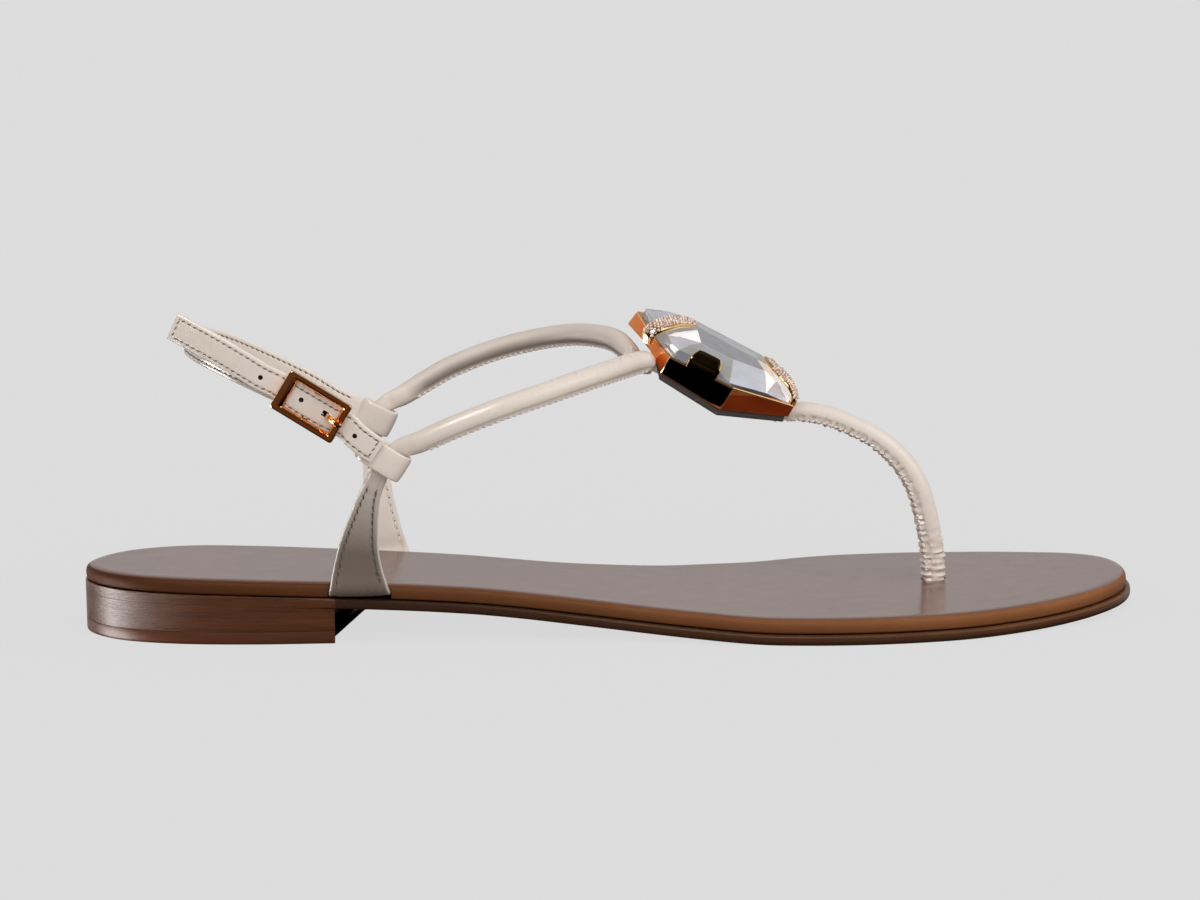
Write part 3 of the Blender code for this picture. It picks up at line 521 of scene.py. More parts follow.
soleShape = {
    # along, outer side, inner side
    "outline": (
        (-0.5, 0.4, 0.4), (2.2, -8.4, 9.4), (9.2, -16.2, 17.6), (22.0, -22.0, 22.8), (40.0, -25.1, 22.6),
        (60.0, -25.9, 20.8), (85.0, -26.2, 19.2), (110.0, -28.2, 18.6), (135.0, -33.8, 24.0),
        (155.0, -39.2, 33.0), (175.0, -42.5, 40.8), (190.0, -42.5, 43.0), (205.0, -40.0, 43.0),
        (218.0, -35.4, 41.0), (230.0, -28.6, 36.8), (240.2, -20.4, 30.4), (247.6, -9.6, 20.6),
        (250.5, 5.4, 5.4),
    ),
    # along, height of the underside
    "underside": (
        (0.0, 9.9), (30.0, 9.4), (60.0, 8.3), (90.0, 6.5), (120.0, 3.4), (145.0, 1.1), (165.0, 0.0),
        (205.0, 0.0), (225.0, 0.4), (250.0, 2.0),
    ),
    "outlineSteps": 9,
    "edgeSteps": 4,
    "capSteps": 14,
    "insetStarts": 60.0,
    "insetEnds": 150.0,
}
outsoleShape = {
    "base": 0.0,
    "insetHeel": 0.0,
    "insetForefoot": 0.0,
    "flatUntil": (50.0, 66.0),  # along: the edge lies flush with the heel up to here, then rounds off
    "heelFinishUntil": 59.8,
    # inset from the outline, height
    "edge": ((2.4, 0.0), (0.7, 0.0), (0.18, 0.28), (0.0, 0.8), (0.0, 1.55), (0.12, 2.05), (0.5, 2.36),
             (1.6, 2.4)),
}
insoleShape = {
    "base": 2.4 + pieceGap,
    "insetHeel": 0.2,
    "insetForefoot": 1.0,
    "rollBelow": 0.86,  # faces less level than this belong to the rolled edge
    "edge": ((3.0, 0.0), (0.75, -0.06), (0.2, 0.15), (0.02, 0.85), (0.0, 1.6), (0.16, 2.35), (0.6, 3.0),
             (1.3, 3.36), (2.3, 3.5), (4.5, 3.5)),
}


def undersideHeight(along):
    rows = np.array(soleShape["underside"])
    stations, heights = rows[:, 0], rows[:, 1]
    slopes = np.diff(heights) / np.diff(stations)
    tangents = np.concatenate(([slopes[0]], np.zeros(len(slopes) - 1), [slopes[-1]]))
    for i in range(1, len(slopes)):
        if slopes[i - 1] * slopes[i] > 0:
            tangents[i] = 2 * slopes[i - 1] * slopes[i] / (slopes[i - 1] + slopes[i])
    along = np.clip(along, stations[0], stations[-1])
    i = np.clip(np.searchsorted(stations, along, side="right") - 1, 0, len(slopes) - 1)
    stretch = stations[i + 1] - stations[i]
    t = (along - stations[i]) / stretch
    return hermite(t, heights[i], heights[i + 1], stretch * tangents[i], stretch * tangents[i + 1])


def soleOutline():
    rows = soleShape["outline"]
    outer = [(row[0], row[1]) for row in rows]
    inner = [(row[0], row[2]) for row in reversed(rows[1:-1])]
    return smoothPath(outer + inner, soleShape["outlineSteps"], closed=True)


def outwardOf(points):
    step = unit(np.roll(points, -1, axis=0) - np.roll(points, 1, axis=0))
    return np.stack((step[:, 1], -step[:, 0]), axis=1)


def soleLayer(name, values, finish):
    outline = soleOutline()
    outward = outwardOf(outline)
    count = len(outline)
    share = np.clip((outline[:, 0] - soleShape["insetStarts"])
                    / (soleShape["insetEnds"] - soleShape["insetStarts"]), 0.0, 1.0)
    layerInset = values["insetHeel"] + (values["insetForefoot"] - values["insetHeel"]) * share
    edge = smoothPath(values["edge"], soleShape["edgeSteps"])
    rounded = np.ones(count)
    if "flatUntil" in values:
        start, end = values["flatUntil"]
        rounded = 0.08 + 0.92 * np.clip((outline[:, 0] - start) / (end - start), 0.0, 1.0)
    points = []
    for inset, height in edge:
        plan = outline - outward * (layerInset + inset * rounded)[:, None]
        points.append(np.column_stack((plan, undersideHeight(plan[:, 0]) + values["base"] + height)))
    faces = ringFaces(len(edge), count)
    points = np.concatenate(points)
    bottom, bottomFaces = soleCap(points[:count], values["base"] + edge[0][1], len(points))
    top, topFaces = soleCap(points[-count:], values["base"] + edge[-1][1], len(points) + len(bottom))
    shift = (len(edge) - 1) * count
    topFaces = [[v + shift if v < count else v for v in face] for face in topFaces]
    return newPiece(name, np.concatenate((points, bottom, top)), faces + bottomFaces + topFaces, [finish])


# Rows of points from the outer to the inner side, so that the broad faces keep the arch
def soleCap(ring, rise, firstNew):
    count, steps = len(ring), soleShape["capSteps"]
    half = count // 2
    new, rows = [], [[0]]
    for i in range(1, half):
        start, end = ring[i], ring[count - i]
        row = [i]
        for k in range(1, steps):
            plan = start[:2] + (end[:2] - start[:2]) * k / steps
            row.append(firstNew + len(new))
            new.append((*plan, undersideHeight(plan[0]) + rise))
        rows.append(row + [count - i])
    rows.append([half])
    faces = []
    for near, far in zip(rows, rows[1:]):
        if len(near) == 1:
            faces += [[near[0], far[k], far[k + 1]] for k in range(len(far) - 1)]
        elif len(far) == 1:
            faces += [[near[k], far[0], near[k + 1]] for k in range(len(near) - 1)]
        else:
            faces += [[near[k], far[k], far[k + 1], near[k + 1]] for k in range(len(near) - 1)]
    return np.array(new), faces


# Heel: the stacked block with its hollowed breast, on the top lift

heelShape = {
    "breastOuter": 59.8,
    "breastInner": 68.0,
    "breastHollow": 4.2,
    "breastSteps": 40,
    "cornerRoom": 0.5,
    "liftThickness": 3.0,
    # inset, height
    "liftEdge": ((3.0, 0.0), (0.5, 0.0), (0.22, 0.1), (0.06, 0.35), (0.0, 0.9), (0.0, 2.96), (0.02, 3.0),
                 (1.5, 3.0)),
    # inset, share of the height
    "blockEdge": ((2.0, 0.0), (0.03, 0.0), (0.0, 0.01), (0.0, 0.4), (0.0, 1.0), (0.5, 1.0)),
    "seam": 0.06,
}


def heelOutline():
    whole = soleOutline()
    half = len(whole) // 2
    outerEnd = edgePoint(whole[: half + 1], heelShape["breastOuter"])
    innerEnd = edgePoint(np.concatenate((whole[:1], whole[: half - 1: -1])), heelShape["breastInner"])
    room = heelShape["cornerRoom"]
    outerRun = [p for p in whole[:half] if p[0] < heelShape["breastOuter"] - room]
    innerRun = [p for p in whole[half:] if p[0] < heelShape["breastInner"] - room]
    breast = []
    for t in np.linspace(0.0, 1.0, heelShape["breastSteps"] + 1):
        chord = outerEnd * (1 - t) + innerEnd * t
        breast.append(chord - np.array([4 * heelShape["breastHollow"] * t * (1 - t), 0.0]))
    return np.array(outerRun + breast + innerRun)


def edgePoint(run, along):
    order = np.argsort(run[:, 0])
    return np.array([along, np.interp(along, run[order, 0], run[order, 1])])


def heelLayer(name, edge, low, high, finish):
    outline = heelOutline()
    outward = outwardOf(outline)
    rings = []
    for inset, share in edge:
        plan = outline - outward * inset
        top = undersideHeight(plan[:, 0]) if high is None else np.full(len(plan), high)
        rings.append(np.column_stack((plan, low + (top - low) * share)))
    count = len(outline)
    faces = ringFaces(len(rings), count)
    points = np.concatenate(rings)
    faces.append(list(range(count)))
    faces.append([(len(rings) - 1) * count + i for i in reversed(range(count))])
    return newPiece(name, points, faces, [finish], crease=50.0)


outsole = soleLayer("outsole_leather", outsoleShape, outsoleFinish)
heelEnd = (outsoleShape["heelFinishUntil"] - sandalMiddle[0]) * millimetre
refinish(outsole, heelFinish, lambda polygon: polygon.center.x < heelEnd)
stand(outsole, "sole_leather", "outsole")
insole = soleLayer("insole_leather", insoleShape, insoleFinish)
refinish(insole, rollFinish, lambda polygon: polygon.normal.z < insoleShape["rollBelow"])

blockLow = heelShape["liftThickness"] + heelShape["seam"]
heelBlock = heelLayer("heel_stack", heelShape["blockEdge"], blockLow, None, heelFinish)
stand(heelBlock, "heel_leather", "heel_block")
liftEdge = [(inset, height / heelShape["liftThickness"]) for inset, height in heelShape["liftEdge"]]
topLift = heelLayer("heel_top_lift", liftEdge, 0.0, heelShape["liftThickness"], liftFinish)
stand(topLift, "lift_rubber", "top_lift")
print("sole and heel made")


# Stitches: short thread bars with a dark dot of painted shade for the needle hole at each end, laid along a
# line on a strap's face

stitchShape = {
    "radius": 0.19,
    "share": 0.66,  # of the pitch
    "sides": 6,
    "rise": 0.04,
    "slant": 14.0,
    "holeRadius": 0.17,
    "holeShare": 0.2,
    "holeDepth": 0.13,
}


def capsule(length, radius, sides):
    end = [(length / 2, 0.0), (length / 2 - radius * 0.5, radius * 0.8), (length / 2 - radius * 1.4, radius)]
    rows = [(-along, size) for along, size in end] + end[::-1]
    points = []
    for along, size in rows:
        for k in range(sides):
            angle = 2 * math.pi * k / sides
            points.append((along, size * math.cos(angle), size * math.sin(angle)))
    return np.array(points), ringFaces(len(rows), sides)


# Joins many copies of one small shape into one piece; each place is a middle and three axes
def scatter(name, shape, places, finish, crease=60.0):
    points, faces = shape
    allPoints, allFaces = [], []
    for number, (middle, axes) in enumerate(places):
        allPoints.append(np.asarray(middle) + points @ np.asarray(axes))
        first = number * len(points)
        allFaces += [[v + first for v in face] for face in faces]
    return newPiece(name, np.concatenate(allPoints), allFaces, [finish], crease=crease)


# The route at one length: its middle, direction, face, side and section
def routeAt(route, here):
    found = []
    for key in ("middles", "tangents", "outs", "acrosses", "sizes"):
        found.append(np.array([np.interp(here, route["lengths"], column) for column in route[key].T]))
    middle, tangent, out, across, size = found
    return middle, unit(tangent), unit(out), unit(across), size


def evenly(start, end, pitch):
    count = max(int(round((end - start) / pitch)), 1)
    return start + (np.arange(count) + 0.5) * (end - start) / count


# Points on the face of a strap, from one length to another, "inset" from its side edge
def faceLine(route, side, inset, face, start, end, pitch, relief=0.0):
    places = []
    for here in evenly(start, end, pitch):
        middle, tangent, out, across, (width, thickness, squareness) = routeAt(route, here)
        a = side * max(width / 2 - inset, 0.05)
        b = face * (1 - min(abs(2 * a / width), 1.0) ** squareness) ** (1 / squareness) * thickness / 2
        spot = middle + across * a + out * (b + face * relief)
        places.append((spot, np.array([tangent, across, out * face])))
    return places


def tilted(places, degrees):
    c, s = math.cos(math.radians(degrees)), math.sin(math.radians(degrees))
    return [(middle, np.array([axes[0] * c + axes[1] * s, axes[1] * c - axes[0] * s, axes[2]]))
            for middle, axes in places]


def stitchRows(name, rows, pitch, thread):
    s = stitchShape
    places = [spot for row in rows for spot in row]
    shape = capsule(pitch * s["share"], s["radius"], s["sides"])
    stand(scatter(name, shape, tilted(places, s["slant"]), thread), "strap_leather")
    holes = [(middle + axes[0] * pitch / 2 - axes[2] * s["holeDepth"], axes) for middle, axes in places]
    shape = capsule(pitch * s["holeShare"], s["holeRadius"], s["sides"])
    stand(scatter(name + "_holes", shape, tilted(holes, -2 * s["slant"]), paintedHoleShade), "strap_leather")


# Upper: the tabs run up from under the insole, turn into the rolled arms and meet behind the jewel

upperShape = {
    "points": 88,
    "steps": 13,
    # along, across, height, width, thickness, squareness
    "outerStrand": (
        (65.8, -17.0, 11.8, 13.4, 1.3, 6.0),
        (65.8, -21.5, 11.8, 14.0, 1.3, 6.0),
        (65.8, -25.2, 11.9, 14.6, 1.4, 6.0),
        (65.7, -26.9, 13.5, 13.8, 1.6, 6.0),
        (65.6, -27.0, 17.0, 12.1, 1.8, 6.0),
        (65.9, -27.4, 22.5, 9.7, 1.8, 6.0),
        (67.1, -28.3, 29.0, 7.4, 1.8, 5.0),
        (68.7, -29.4, 35.2, 5.4, 2.0, 4.0),
        (70.6, -30.3, 39.8, 4.6, 2.4, 3.0),
        (72.9, -31.0, 43.8, 4.3, 2.4, 2.5),
        (76.4, -31.1, 47.1, 4.7, 2.9, 2.2),
        (81.1, -32.0, 48.9, 5.1, 4.8, 2.0),
        (88.7, -33.0, 52.3, 5.2, 5.2, 2.0),
        (100.0, -32.6, 56.4, 5.2, 5.2, 2.0),
        (111.3, -28.6, 59.4, 5.2, 5.2, 2.0),
        (119.5, -23.0, 61.2, 5.2, 5.2, 2.0),
        (127.5, -14.0, 62.2, 5.2, 5.2, 2.0),
        (132.4, -6.8, 62.5, 5.2, 5.2, 2.0),
        (134.6, -3.8, 62.2, 5.0, 5.0, 2.0),
        (135.1, -1.6, 60.9, 3.8, 3.8, 2.0),
        (134.3, 1.4, 59.9, 2.6, 2.6, 2.0),
    ),
    "innerStrand": (
        (69.6, 12.4, 11.6, 13.4, 1.3, 6.0),
        (69.6, 16.6, 11.6, 14.0, 1.3, 6.0),
        (69.6, 20.2, 11.7, 14.6, 1.4, 6.0),
        (69.6, 21.8, 13.4, 13.8, 1.6, 6.0),
        (69.4, 22.3, 17.0, 12.0, 1.8, 6.0),
        (69.3, 23.6, 22.5, 9.4, 1.8, 6.0),
        (69.2, 25.5, 29.0, 6.9, 1.8, 5.0),
        (68.7, 27.4, 35.2, 5.4, 2.0, 4.0),
        (68.4, 29.1, 40.6, 4.6, 2.1, 3.0),
        (69.5, 29.6, 44.8, 4.1, 2.4, 2.5),
        (71.6, 29.9, 47.8, 4.2, 2.8, 2.3),
        (76.2, 30.5, 50.0, 4.9, 4.4, 2.1),
        (81.0, 31.1, 52.8, 5.2, 5.0, 2.0),
        (88.1, 32.0, 56.5, 5.2, 5.2, 2.0),
        (99.9, 32.0, 60.7, 5.2, 5.2, 2.0),
        (111.7, 28.6, 63.7, 5.2, 5.2, 2.0),
        (120.0, 22.4, 65.2, 5.2, 5.2, 2.0),
        (127.6, 13.4, 65.1, 5.2, 5.2, 2.0),
        (130.4, 9.0, 63.5, 4.8, 4.8, 2.0),
        (132.2, 5.8, 61.6, 4.0, 4.0, 2.0),
        (133.2, 3.8, 60.2, 2.8, 2.8, 2.0),
    ),
    # in the jewel's own frame
    "underJewel": (
        (-19.2, 3.2, -6.9, 3.6, 3.0, 2.2),
        (-15.0, 4.2, -8.2, 4.6, 2.2, 3.0),
        (-9.0, 4.2, -8.9, 5.6, 1.8, 4.0),
        (0.0, 2.4, -9.2, 6.4, 1.8, 4.0),
        (9.0, -0.4, -9.1, 7.2, 1.9, 4.0),
        (16.0, -2.0, -8.0, 6.6, 2.4, 3.0),
    ),
    "thong": (
        (172.4, 5.0, 47.9, 5.4, 4.5, 2.2),
        (178.4, 5.1, 46.6, 5.2, 4.8, 2.0),
        (184.1, 5.2, 44.2, 5.2, 4.9, 2.0),
        (189.8, 5.3, 40.9, 5.3, 5.1, 2.0),
        (195.6, 5.6, 35.5, 5.5, 5.5, 2.0),
        (199.5, 5.7, 29.0, 5.7, 5.7, 2.0),
        (201.8, 5.8, 20.4, 5.8, 5.8, 2.0),
        (203.0, 5.8, 12.4, 5.8, 5.8, 2.0),
        (203.2, 5.8, 7.6, 5.7, 5.7, 2.0),
        (203.2, 5.8, 2.9, 5.0, 5.0, 2.0),
    ),
    "tabStitchInset": 1.35,
    "tabStitchPitch": 1.9,
    "tabStitchRun": (11.5, 36.0),
    "weltRise": 0.22,
    "weltTrough": 0.08,
    "weltHalf": 0.50,
    "weltStitchPitch": 1.5,
    "weltStitchShare": 0.86,
    "weltStitchRadius": 0.31,
    "weltStitchSlant": 24.0,
}

# The jewel's own frame: its middle, how far it turns inward, dips to the toe and leans outward
jewelFrame = {"middle": (151.2, 3.0, 61.5), "yaw": 10.0, "pitch": 21.5, "roll": 20.0}


def jewelAxes():
    yaw, pitch, roll = (math.radians(jewelFrame[k]) for k in ("yaw", "pitch", "roll"))
    turn = Matrix.Rotation(yaw, 3, "Z") @ Matrix.Rotation(pitch, 3, "Y") @ Matrix.Rotation(roll, 3, "X")
    return np.array([turn.col[i] for i in range(3)])


def fromJewel(points):
    return np.asarray(jewelFrame["middle"]) + np.asarray(points, float) @ jewelAxes()


# Creases of a strap, listed as rows of (length along it, half width, depth, turn round it, spread)
def creaseHeight(length, turns, creases):
    height = np.zeros(len(turns))
    for at, half, depth, turn, spread in creases:
        height -= depth * math.exp(-((length - at) / half) ** 2) * bell(turnedPast(turns, turn), spread)
    return height


def clamp(value):
    return np.clip(value, 0.0, 1.0)


def bell(away, half):
    return np.exp(-(away / half) ** 2)


def turnsOf(outline):
    return np.degrees(np.arctan2(outline[:, 1], outline[:, 0]))


def turnedPast(turns, turn):
    return (turns - turn + 180.0) % 360.0 - 180.0


# Relief of the upper: padded tabs with sewn channels, rolled arms with a folded welt, a crumpled thong.
# The shade mask paints shade: darker towards the tab's foot, under the far arm and in the hollows of the
# thong's crumples
reliefShape = {
    "roundBelow": 2.4,  # squareness under which a section is a rolled strap
    "squareRange": 2.0,
    "faceShare": 0.3,
    "channelHalf": 0.26,
    "channelDepth": 0.13,
    "crownRise": 0.10,
    "edgeStarts": 0.93,
    "edgeRange": 0.05,
    "weltRange": 6.0,
    "troughAt": 2.1,  # in half widths of the welt
    "troughHalf": 0.75,
    # degrees past the seam where the crumples start and end, and how softly
    "crumples": (-40.0, 20.0, 75.0, 30.0),
    "foot": (20.0, 8.0, 0.75),  # length above the toe post, soft part, share of the crumples all round
    # along, round, sway and height of each wave
    "waves": ((4.4, 1.0, 0.8, 1.0), (3.1, -1.6, 0.0, 0.6), (1.9, 2.2, 0.0, 0.5)),
    # strengths of the painted shade: in the crumples' hollows, low on the tab, under the far arm
    "waveShade": 0.28,
    "tabShade": 0.98,
    "tabShadeRange": 26.0,
    "armShade": 0.16,
    "weltKeeps": 0.75,  # share of the shade that the welt's ridge doesn't take
}


def strandRelief(seamTurn, weltStarts, creases, crinkle, shadedBelow, under):
    r, half = reliefShape, upperShape["weltHalf"]

    def relief(route, i, outline):
        width, thickness, squareness = route["sizes"][i]
        length = route["lengths"][i]
        turns = turnsOf(outline)
        sideways = np.abs(outline[:, 0])
        flatness = clamp((squareness - r["roundBelow"]) / r["squareRange"])
        onFace = (np.abs(outline[:, 1]) > thickness * r["faceShare"]) * flatness
        rowAt = width / 2 - upperShape["tabStitchInset"]
        channel = bell(sideways - rowAt, r["channelHalf"]) * onFace
        crown = (1 - clamp(sideways / (rowAt + 0.01)) ** 2) * onFace
        # paler side edges: partly a lighter tone of their own, partly a painted highlight
        edge = clamp((sideways / (width / 2) - r["edgeStarts"]) / r["edgeRange"]) * flatness
        past = turnedPast(turns, seamTurn)
        away = np.radians(np.abs(past)) * width / 2
        welt = clamp((length - weltStarts) / r["weltRange"])
        ridge = np.exp(-(away / half) ** 4)
        trough = bell(away - r["troughAt"] * half, r["troughHalf"] * half)
        height = (creaseHeight(length, turns, creases) - r["channelDepth"] * channel + r["crownRise"] * crown
                  + welt * (ridge * upperShape["weltRise"] - trough * upperShape["weltTrough"]))
        paintedShade = np.zeros(len(turns))
        if crinkle:
            start, startSoft, end, endSoft = r["crumples"]
            above, soft, share = r["foot"]
            foot = share * clamp((length - route["lengths"][-1] + above) / soft)
            lining = np.maximum(clamp((past - start) / startSoft) * clamp((end - past) / endSoft), foot)
            drift, spin = math.sin(length * 0.9), np.radians(turns)
            wave = sum(rise * np.sin(length * along + sway * drift + around * spin)
                       for along, around, sway, rise in r["waves"])
            height = height + welt * lining * crinkle * wave
            # painted shade in the hollows of the crumples
            paintedShade = welt * lining * r["waveShade"] * clamp(0.3 - 0.7 * wave)
        if shadedBelow:
            # painted shade on the tab's outer face, darker towards its foot
            low = clamp((shadedBelow - route["middles"][i][2]) / r["tabShadeRange"])
            paintedShade = r["tabShade"] * clamp(outline[:, 1] / thickness + 0.5) * low * (1.0 - 0.5 * edge)
        if under:
            # painted shade under the far arm
            turn, spread, depth = under
            paintedShade = welt * (r["armShade"] + depth * bell(turnedPast(turns, turn), spread))
            paintedShade = paintedShade * (1.0 - r["weltKeeps"] * ridge)
        return height, {"edge": edge * 0.8, "channel": channel * 0.25, "paintedShade": paintedShade}
    return relief


strapMasks = ("edge", "channel", "paintedShade")


def buildStrand(name, rows, firstOut, strand, leather):
    route = makeRoute(rows, firstOut, upperShape["steps"])
    relief = strandRelief(strand["seam"], strand["weltStarts"], strand["creases"], strand.get("crinkle"),
                          strand.get("shadedBelow"), strand.get("under"))
    piece = skin(name, route, upperShape["points"], [leather], relief, strapMasks)
    stand(piece, "strap_leather", "upper")
    print(name, round(float(route["lengths"][-1]), 1), "mm long")
    return route


# seam: turn of the welt round the strap. thread: where it starts, and how far before the end it stops
outerArm = {
    "seam": 154.0,
    "weltStarts": 52.0,
    "thread": (54.0, 7.0),
    # height below which the tab gets painted shade
    "shadedBelow": 48.0,
    # length, half width, depth, turn, spread
    "creases": ((34.5, 0.7, 0.12, 90.0, 40.0), (37.6, 0.8, 0.16, 60.0, 50.0), (46.0, 1.0, 0.18, 100.0, 40.0),
                (50.5, 0.9, 0.12, 60.0, 45.0), (54.0, 1.4, 0.10, 120.0, 50.0)),
}
innerArm = {
    "seam": -30.0,
    "weltStarts": 52.0,
    "thread": (54.0, 7.0),
    "under": (-66.0, 36.0, 0.62),  # turn, spread and depth of the painted shade
    "creases": ((36.0, 0.8, 0.14, -90.0, 50.0), (48.0, 1.0, 0.16, -80.0, 45.0),
                (53.0, 1.2, 0.10, -110.0, 50.0)),
}
thong = {
    "seam": -150.0,
    "weltStarts": 38.0,
    "thread": (39.0, 5.5),
    "crinkle": 0.22,
    "creases": (
        (62.5, 0.9, 0.30, -60.0, 50.0), (65.5, 0.8, 0.28, -110.0, 50.0), (68.5, 0.7, 0.20, -70.0, 60.0),
        (73.5, 0.7, 0.14, -90.0, 60.0), (79.0, 0.6, 0.12, -60.0, 60.0), (84.0, 0.5, 0.14, -90.0, 80.0),
        (88.0, 0.45, 0.18, -70.0, 90.0), (90.4, 0.4, 0.20, -100.0, 100.0), (92.4, 0.4, 0.22, -60.0, 110.0),
        (94.2, 0.35, 0.22, -90.0, 120.0),
    ),
}
tabOut = (0.0, 0.0, -1.0)
outerRoute = buildStrand("upper_outer_arm", upperShape["outerStrand"], tabOut, outerArm, creamLeather)
innerRoute = buildStrand("upper_inner_arm", upperShape["innerStrand"], tabOut, innerArm, softLeather)
thongRows = [(*fromJewel(row[:3]), *row[3:]) for row in upperShape["underJewel"]] + list(upperShape["thong"])
thongRoute = buildStrand("upper_thong", thongRows, jewelAxes()[2], thong, creamLeather)


def tabStitches(name, route):
    u = upperShape
    for label, face, thread in (("outside", 1, darkThread), ("inside", -1, weltThread)):
        rows = [faceLine(route, side, u["tabStitchInset"], face, *u["tabStitchRun"], u["tabStitchPitch"],
                         stitchShape["rise"]) for side in (1, -1)]
        stitchRows(f"{name}_{label}", rows, u["tabStitchPitch"], thread)


# Thread over the welt of a rolled arm
def weltStitches(name, route, strand):
    pitch, (start, beforeEnd) = upperShape["weltStitchPitch"], strand["thread"]
    turn = math.radians(strand["seam"])
    c, s = math.cos(turn), math.sin(turn)
    places = []
    for here in evenly(start, route["lengths"][-1] - beforeEnd, pitch):
        middle, tangent, out, across, (width, thickness, power) = routeAt(route, here)
        reach = ((abs(c) * 2 / width) ** power + (abs(s) * 2 / thickness) ** power) ** (-1 / power)
        direction = across * c + out * s
        at = middle + direction * (reach + 0.6 * upperShape["weltRise"])
        places.append((at, np.array([tangent, np.cross(direction, tangent), direction])))
    shape = capsule(pitch * upperShape["weltStitchShare"], upperShape["weltStitchRadius"], 8)
    stand(scatter(name, shape, tilted(places, upperShape["weltStitchSlant"]), weltThread), "strap_leather")


tabStitches("tab_outer_stitches", outerRoute)
tabStitches("tab_inner_stitches", innerRoute)
weltStitches("arm_outer_welt_stitches", outerRoute, outerArm)
weltStitches("arm_inner_welt_stitches", innerRoute, innerArm)
weltStitches("thong_welt_stitches", thongRoute, thong)

# Rooms in the insole for the tabs' feet and the toe post
postHole = {"middle": (203.2, 5.8, 6.0), "radius": 3.0, "length": 20.0, "sides": 64}


def footRoom(name, rows):
    grown = []
    for k, (along, across, height, width, thickness, squareness) in enumerate(rows[:4]):
        deeper = 1.2 if k < 3 else 0.0  # the level part of the tab, under the insole
        grown.append((along, across, height - deeper / 2, width + 2 * pieceGap,
                      thickness + 2 * pieceGap + deeper, squareness))
    first, second = np.array(grown[0][:3]), np.array(grown[1][:3])
    grown[0] = (*(first + unit(first - second) * pieceGap), *grown[0][3:])
    return skin(name, makeRoute(grown, tabOut, 4), 32, [insoleFinish])


def roundTool(name, middle, radius, length, axes, sides):
    turn = np.linspace(0.0, 2 * math.pi, sides, endpoint=False)
    ring = np.column_stack((np.cos(turn) * radius, np.sin(turn) * radius))
    points = [np.column_stack((ring, np.full(sides, h))) for h in (-length / 2, length / 2)]
    faces = ringFaces(2, sides) + [list(range(sides)), list(range(2 * sides - 1, sides - 1, -1))]
    return newPiece(name, np.asarray(middle) + np.concatenate(points) @ np.asarray(axes), faces, [paintedHoleShade])


cut(insole, footRoom("outer foot room", upperShape["outerStrand"]),
    footRoom("inner foot room", upperShape["innerStrand"]),
    roundTool("post room", postHole["middle"], postHole["radius"], postHole["length"], np.identity(3),
              postHole["sides"]))
stand(insole, "insole_leather", "insole")
print("upper made")


# Buckle: its own frame along the strap, up across it and out from the foot

buckleShape = {
    "middle": (56.0, -34.0, 58.2),
    "along": (0.842, -0.10, -0.530),
    "length": 16.9,
    "width": 10.3,
    "depth": 1.6,
    "backBar": 2.8,
    "frontBar": 2.0,
    "sideBar": 1.75,
    "outerCorner": 0.7,
    "innerCorner": 0.45,
    "barRadius": 0.6,
    "barDepth": 4.7,
    "earInset": 0.45,
    "earSize": (1.8, 1.1),
    # along, out, width, thickness
    "prong": ((1.3, -4.5, 1.5, 0.9), (2.6, -3.7, 1.2, 1.2), (3.8, -1.9, 1.2, 1.2), (4.9, 0.2, 1.2, 1.2),
              (6.2, 1.5, 1.2, 1.2), (8.2, 1.75, 1.2, 1.2), (8.65, 1.7, 0.5, 0.4)),
    # the tones are painted light: pale and warm highlights on the rims and inner bevel, deep reflection on
    # the broad faces
    # share from the outer to the inner edge, height as a share of the half depth, tone of the next band
    "profile": ((0.0, -0.7, 0), (0.0, 0.50, 2), (0.03, 0.80, 2), (0.09, 0.95, 2), (0.15, 1.0, 0),
                (0.64, 0.96, 2), (0.70, 0.90, 1), (0.77, 0.70, 1), (0.88, 0.30, 1), (0.97, -0.10, 1),
                (1.0, -0.3, 0), (1.0, -0.7, 0), (0.9, -0.95, 0), (0.75, -1.0, 0), (0.25, -1.0, 0),
                (0.1, -0.95, 0)),
}


def strapAxes(along):
    along = unit(np.array(along, float))
    up = np.array([0.0, 0.0, 1.0])
    up = unit(up - along * up.dot(along))
    return np.array([along, up, np.cross(along, up)])


buckleAxes = strapAxes(buckleShape["along"])


def onBuckle(points):
    return np.asarray(buckleShape["middle"]) + np.asarray(points, float) @ buckleAxes


def roundedRectangle(low, high, radius, steps):
    points = []
    for right, upper, start in ((True, True, 0), (False, True, 90), (False, False, 180), (True, False, 270)):
        x = high[0] - radius if right else low[0] + radius
        y = high[1] - radius if upper else low[1] + radius
        for step in range(steps + 1):
            angle = math.radians(start + 90.0 * step / steps)
            points.append((x + radius * math.cos(angle), y + radius * math.sin(angle)))
    return np.array(points)


def metalRod(name, rows, firstOut, steps, count, node):
    placed = [(*onBuckle(row[:3]), *row[3:]) for row in rows]
    stand(skin(name, makeRoute(placed, firstOut, steps), count, [warmGold]), "gold_metal", node)


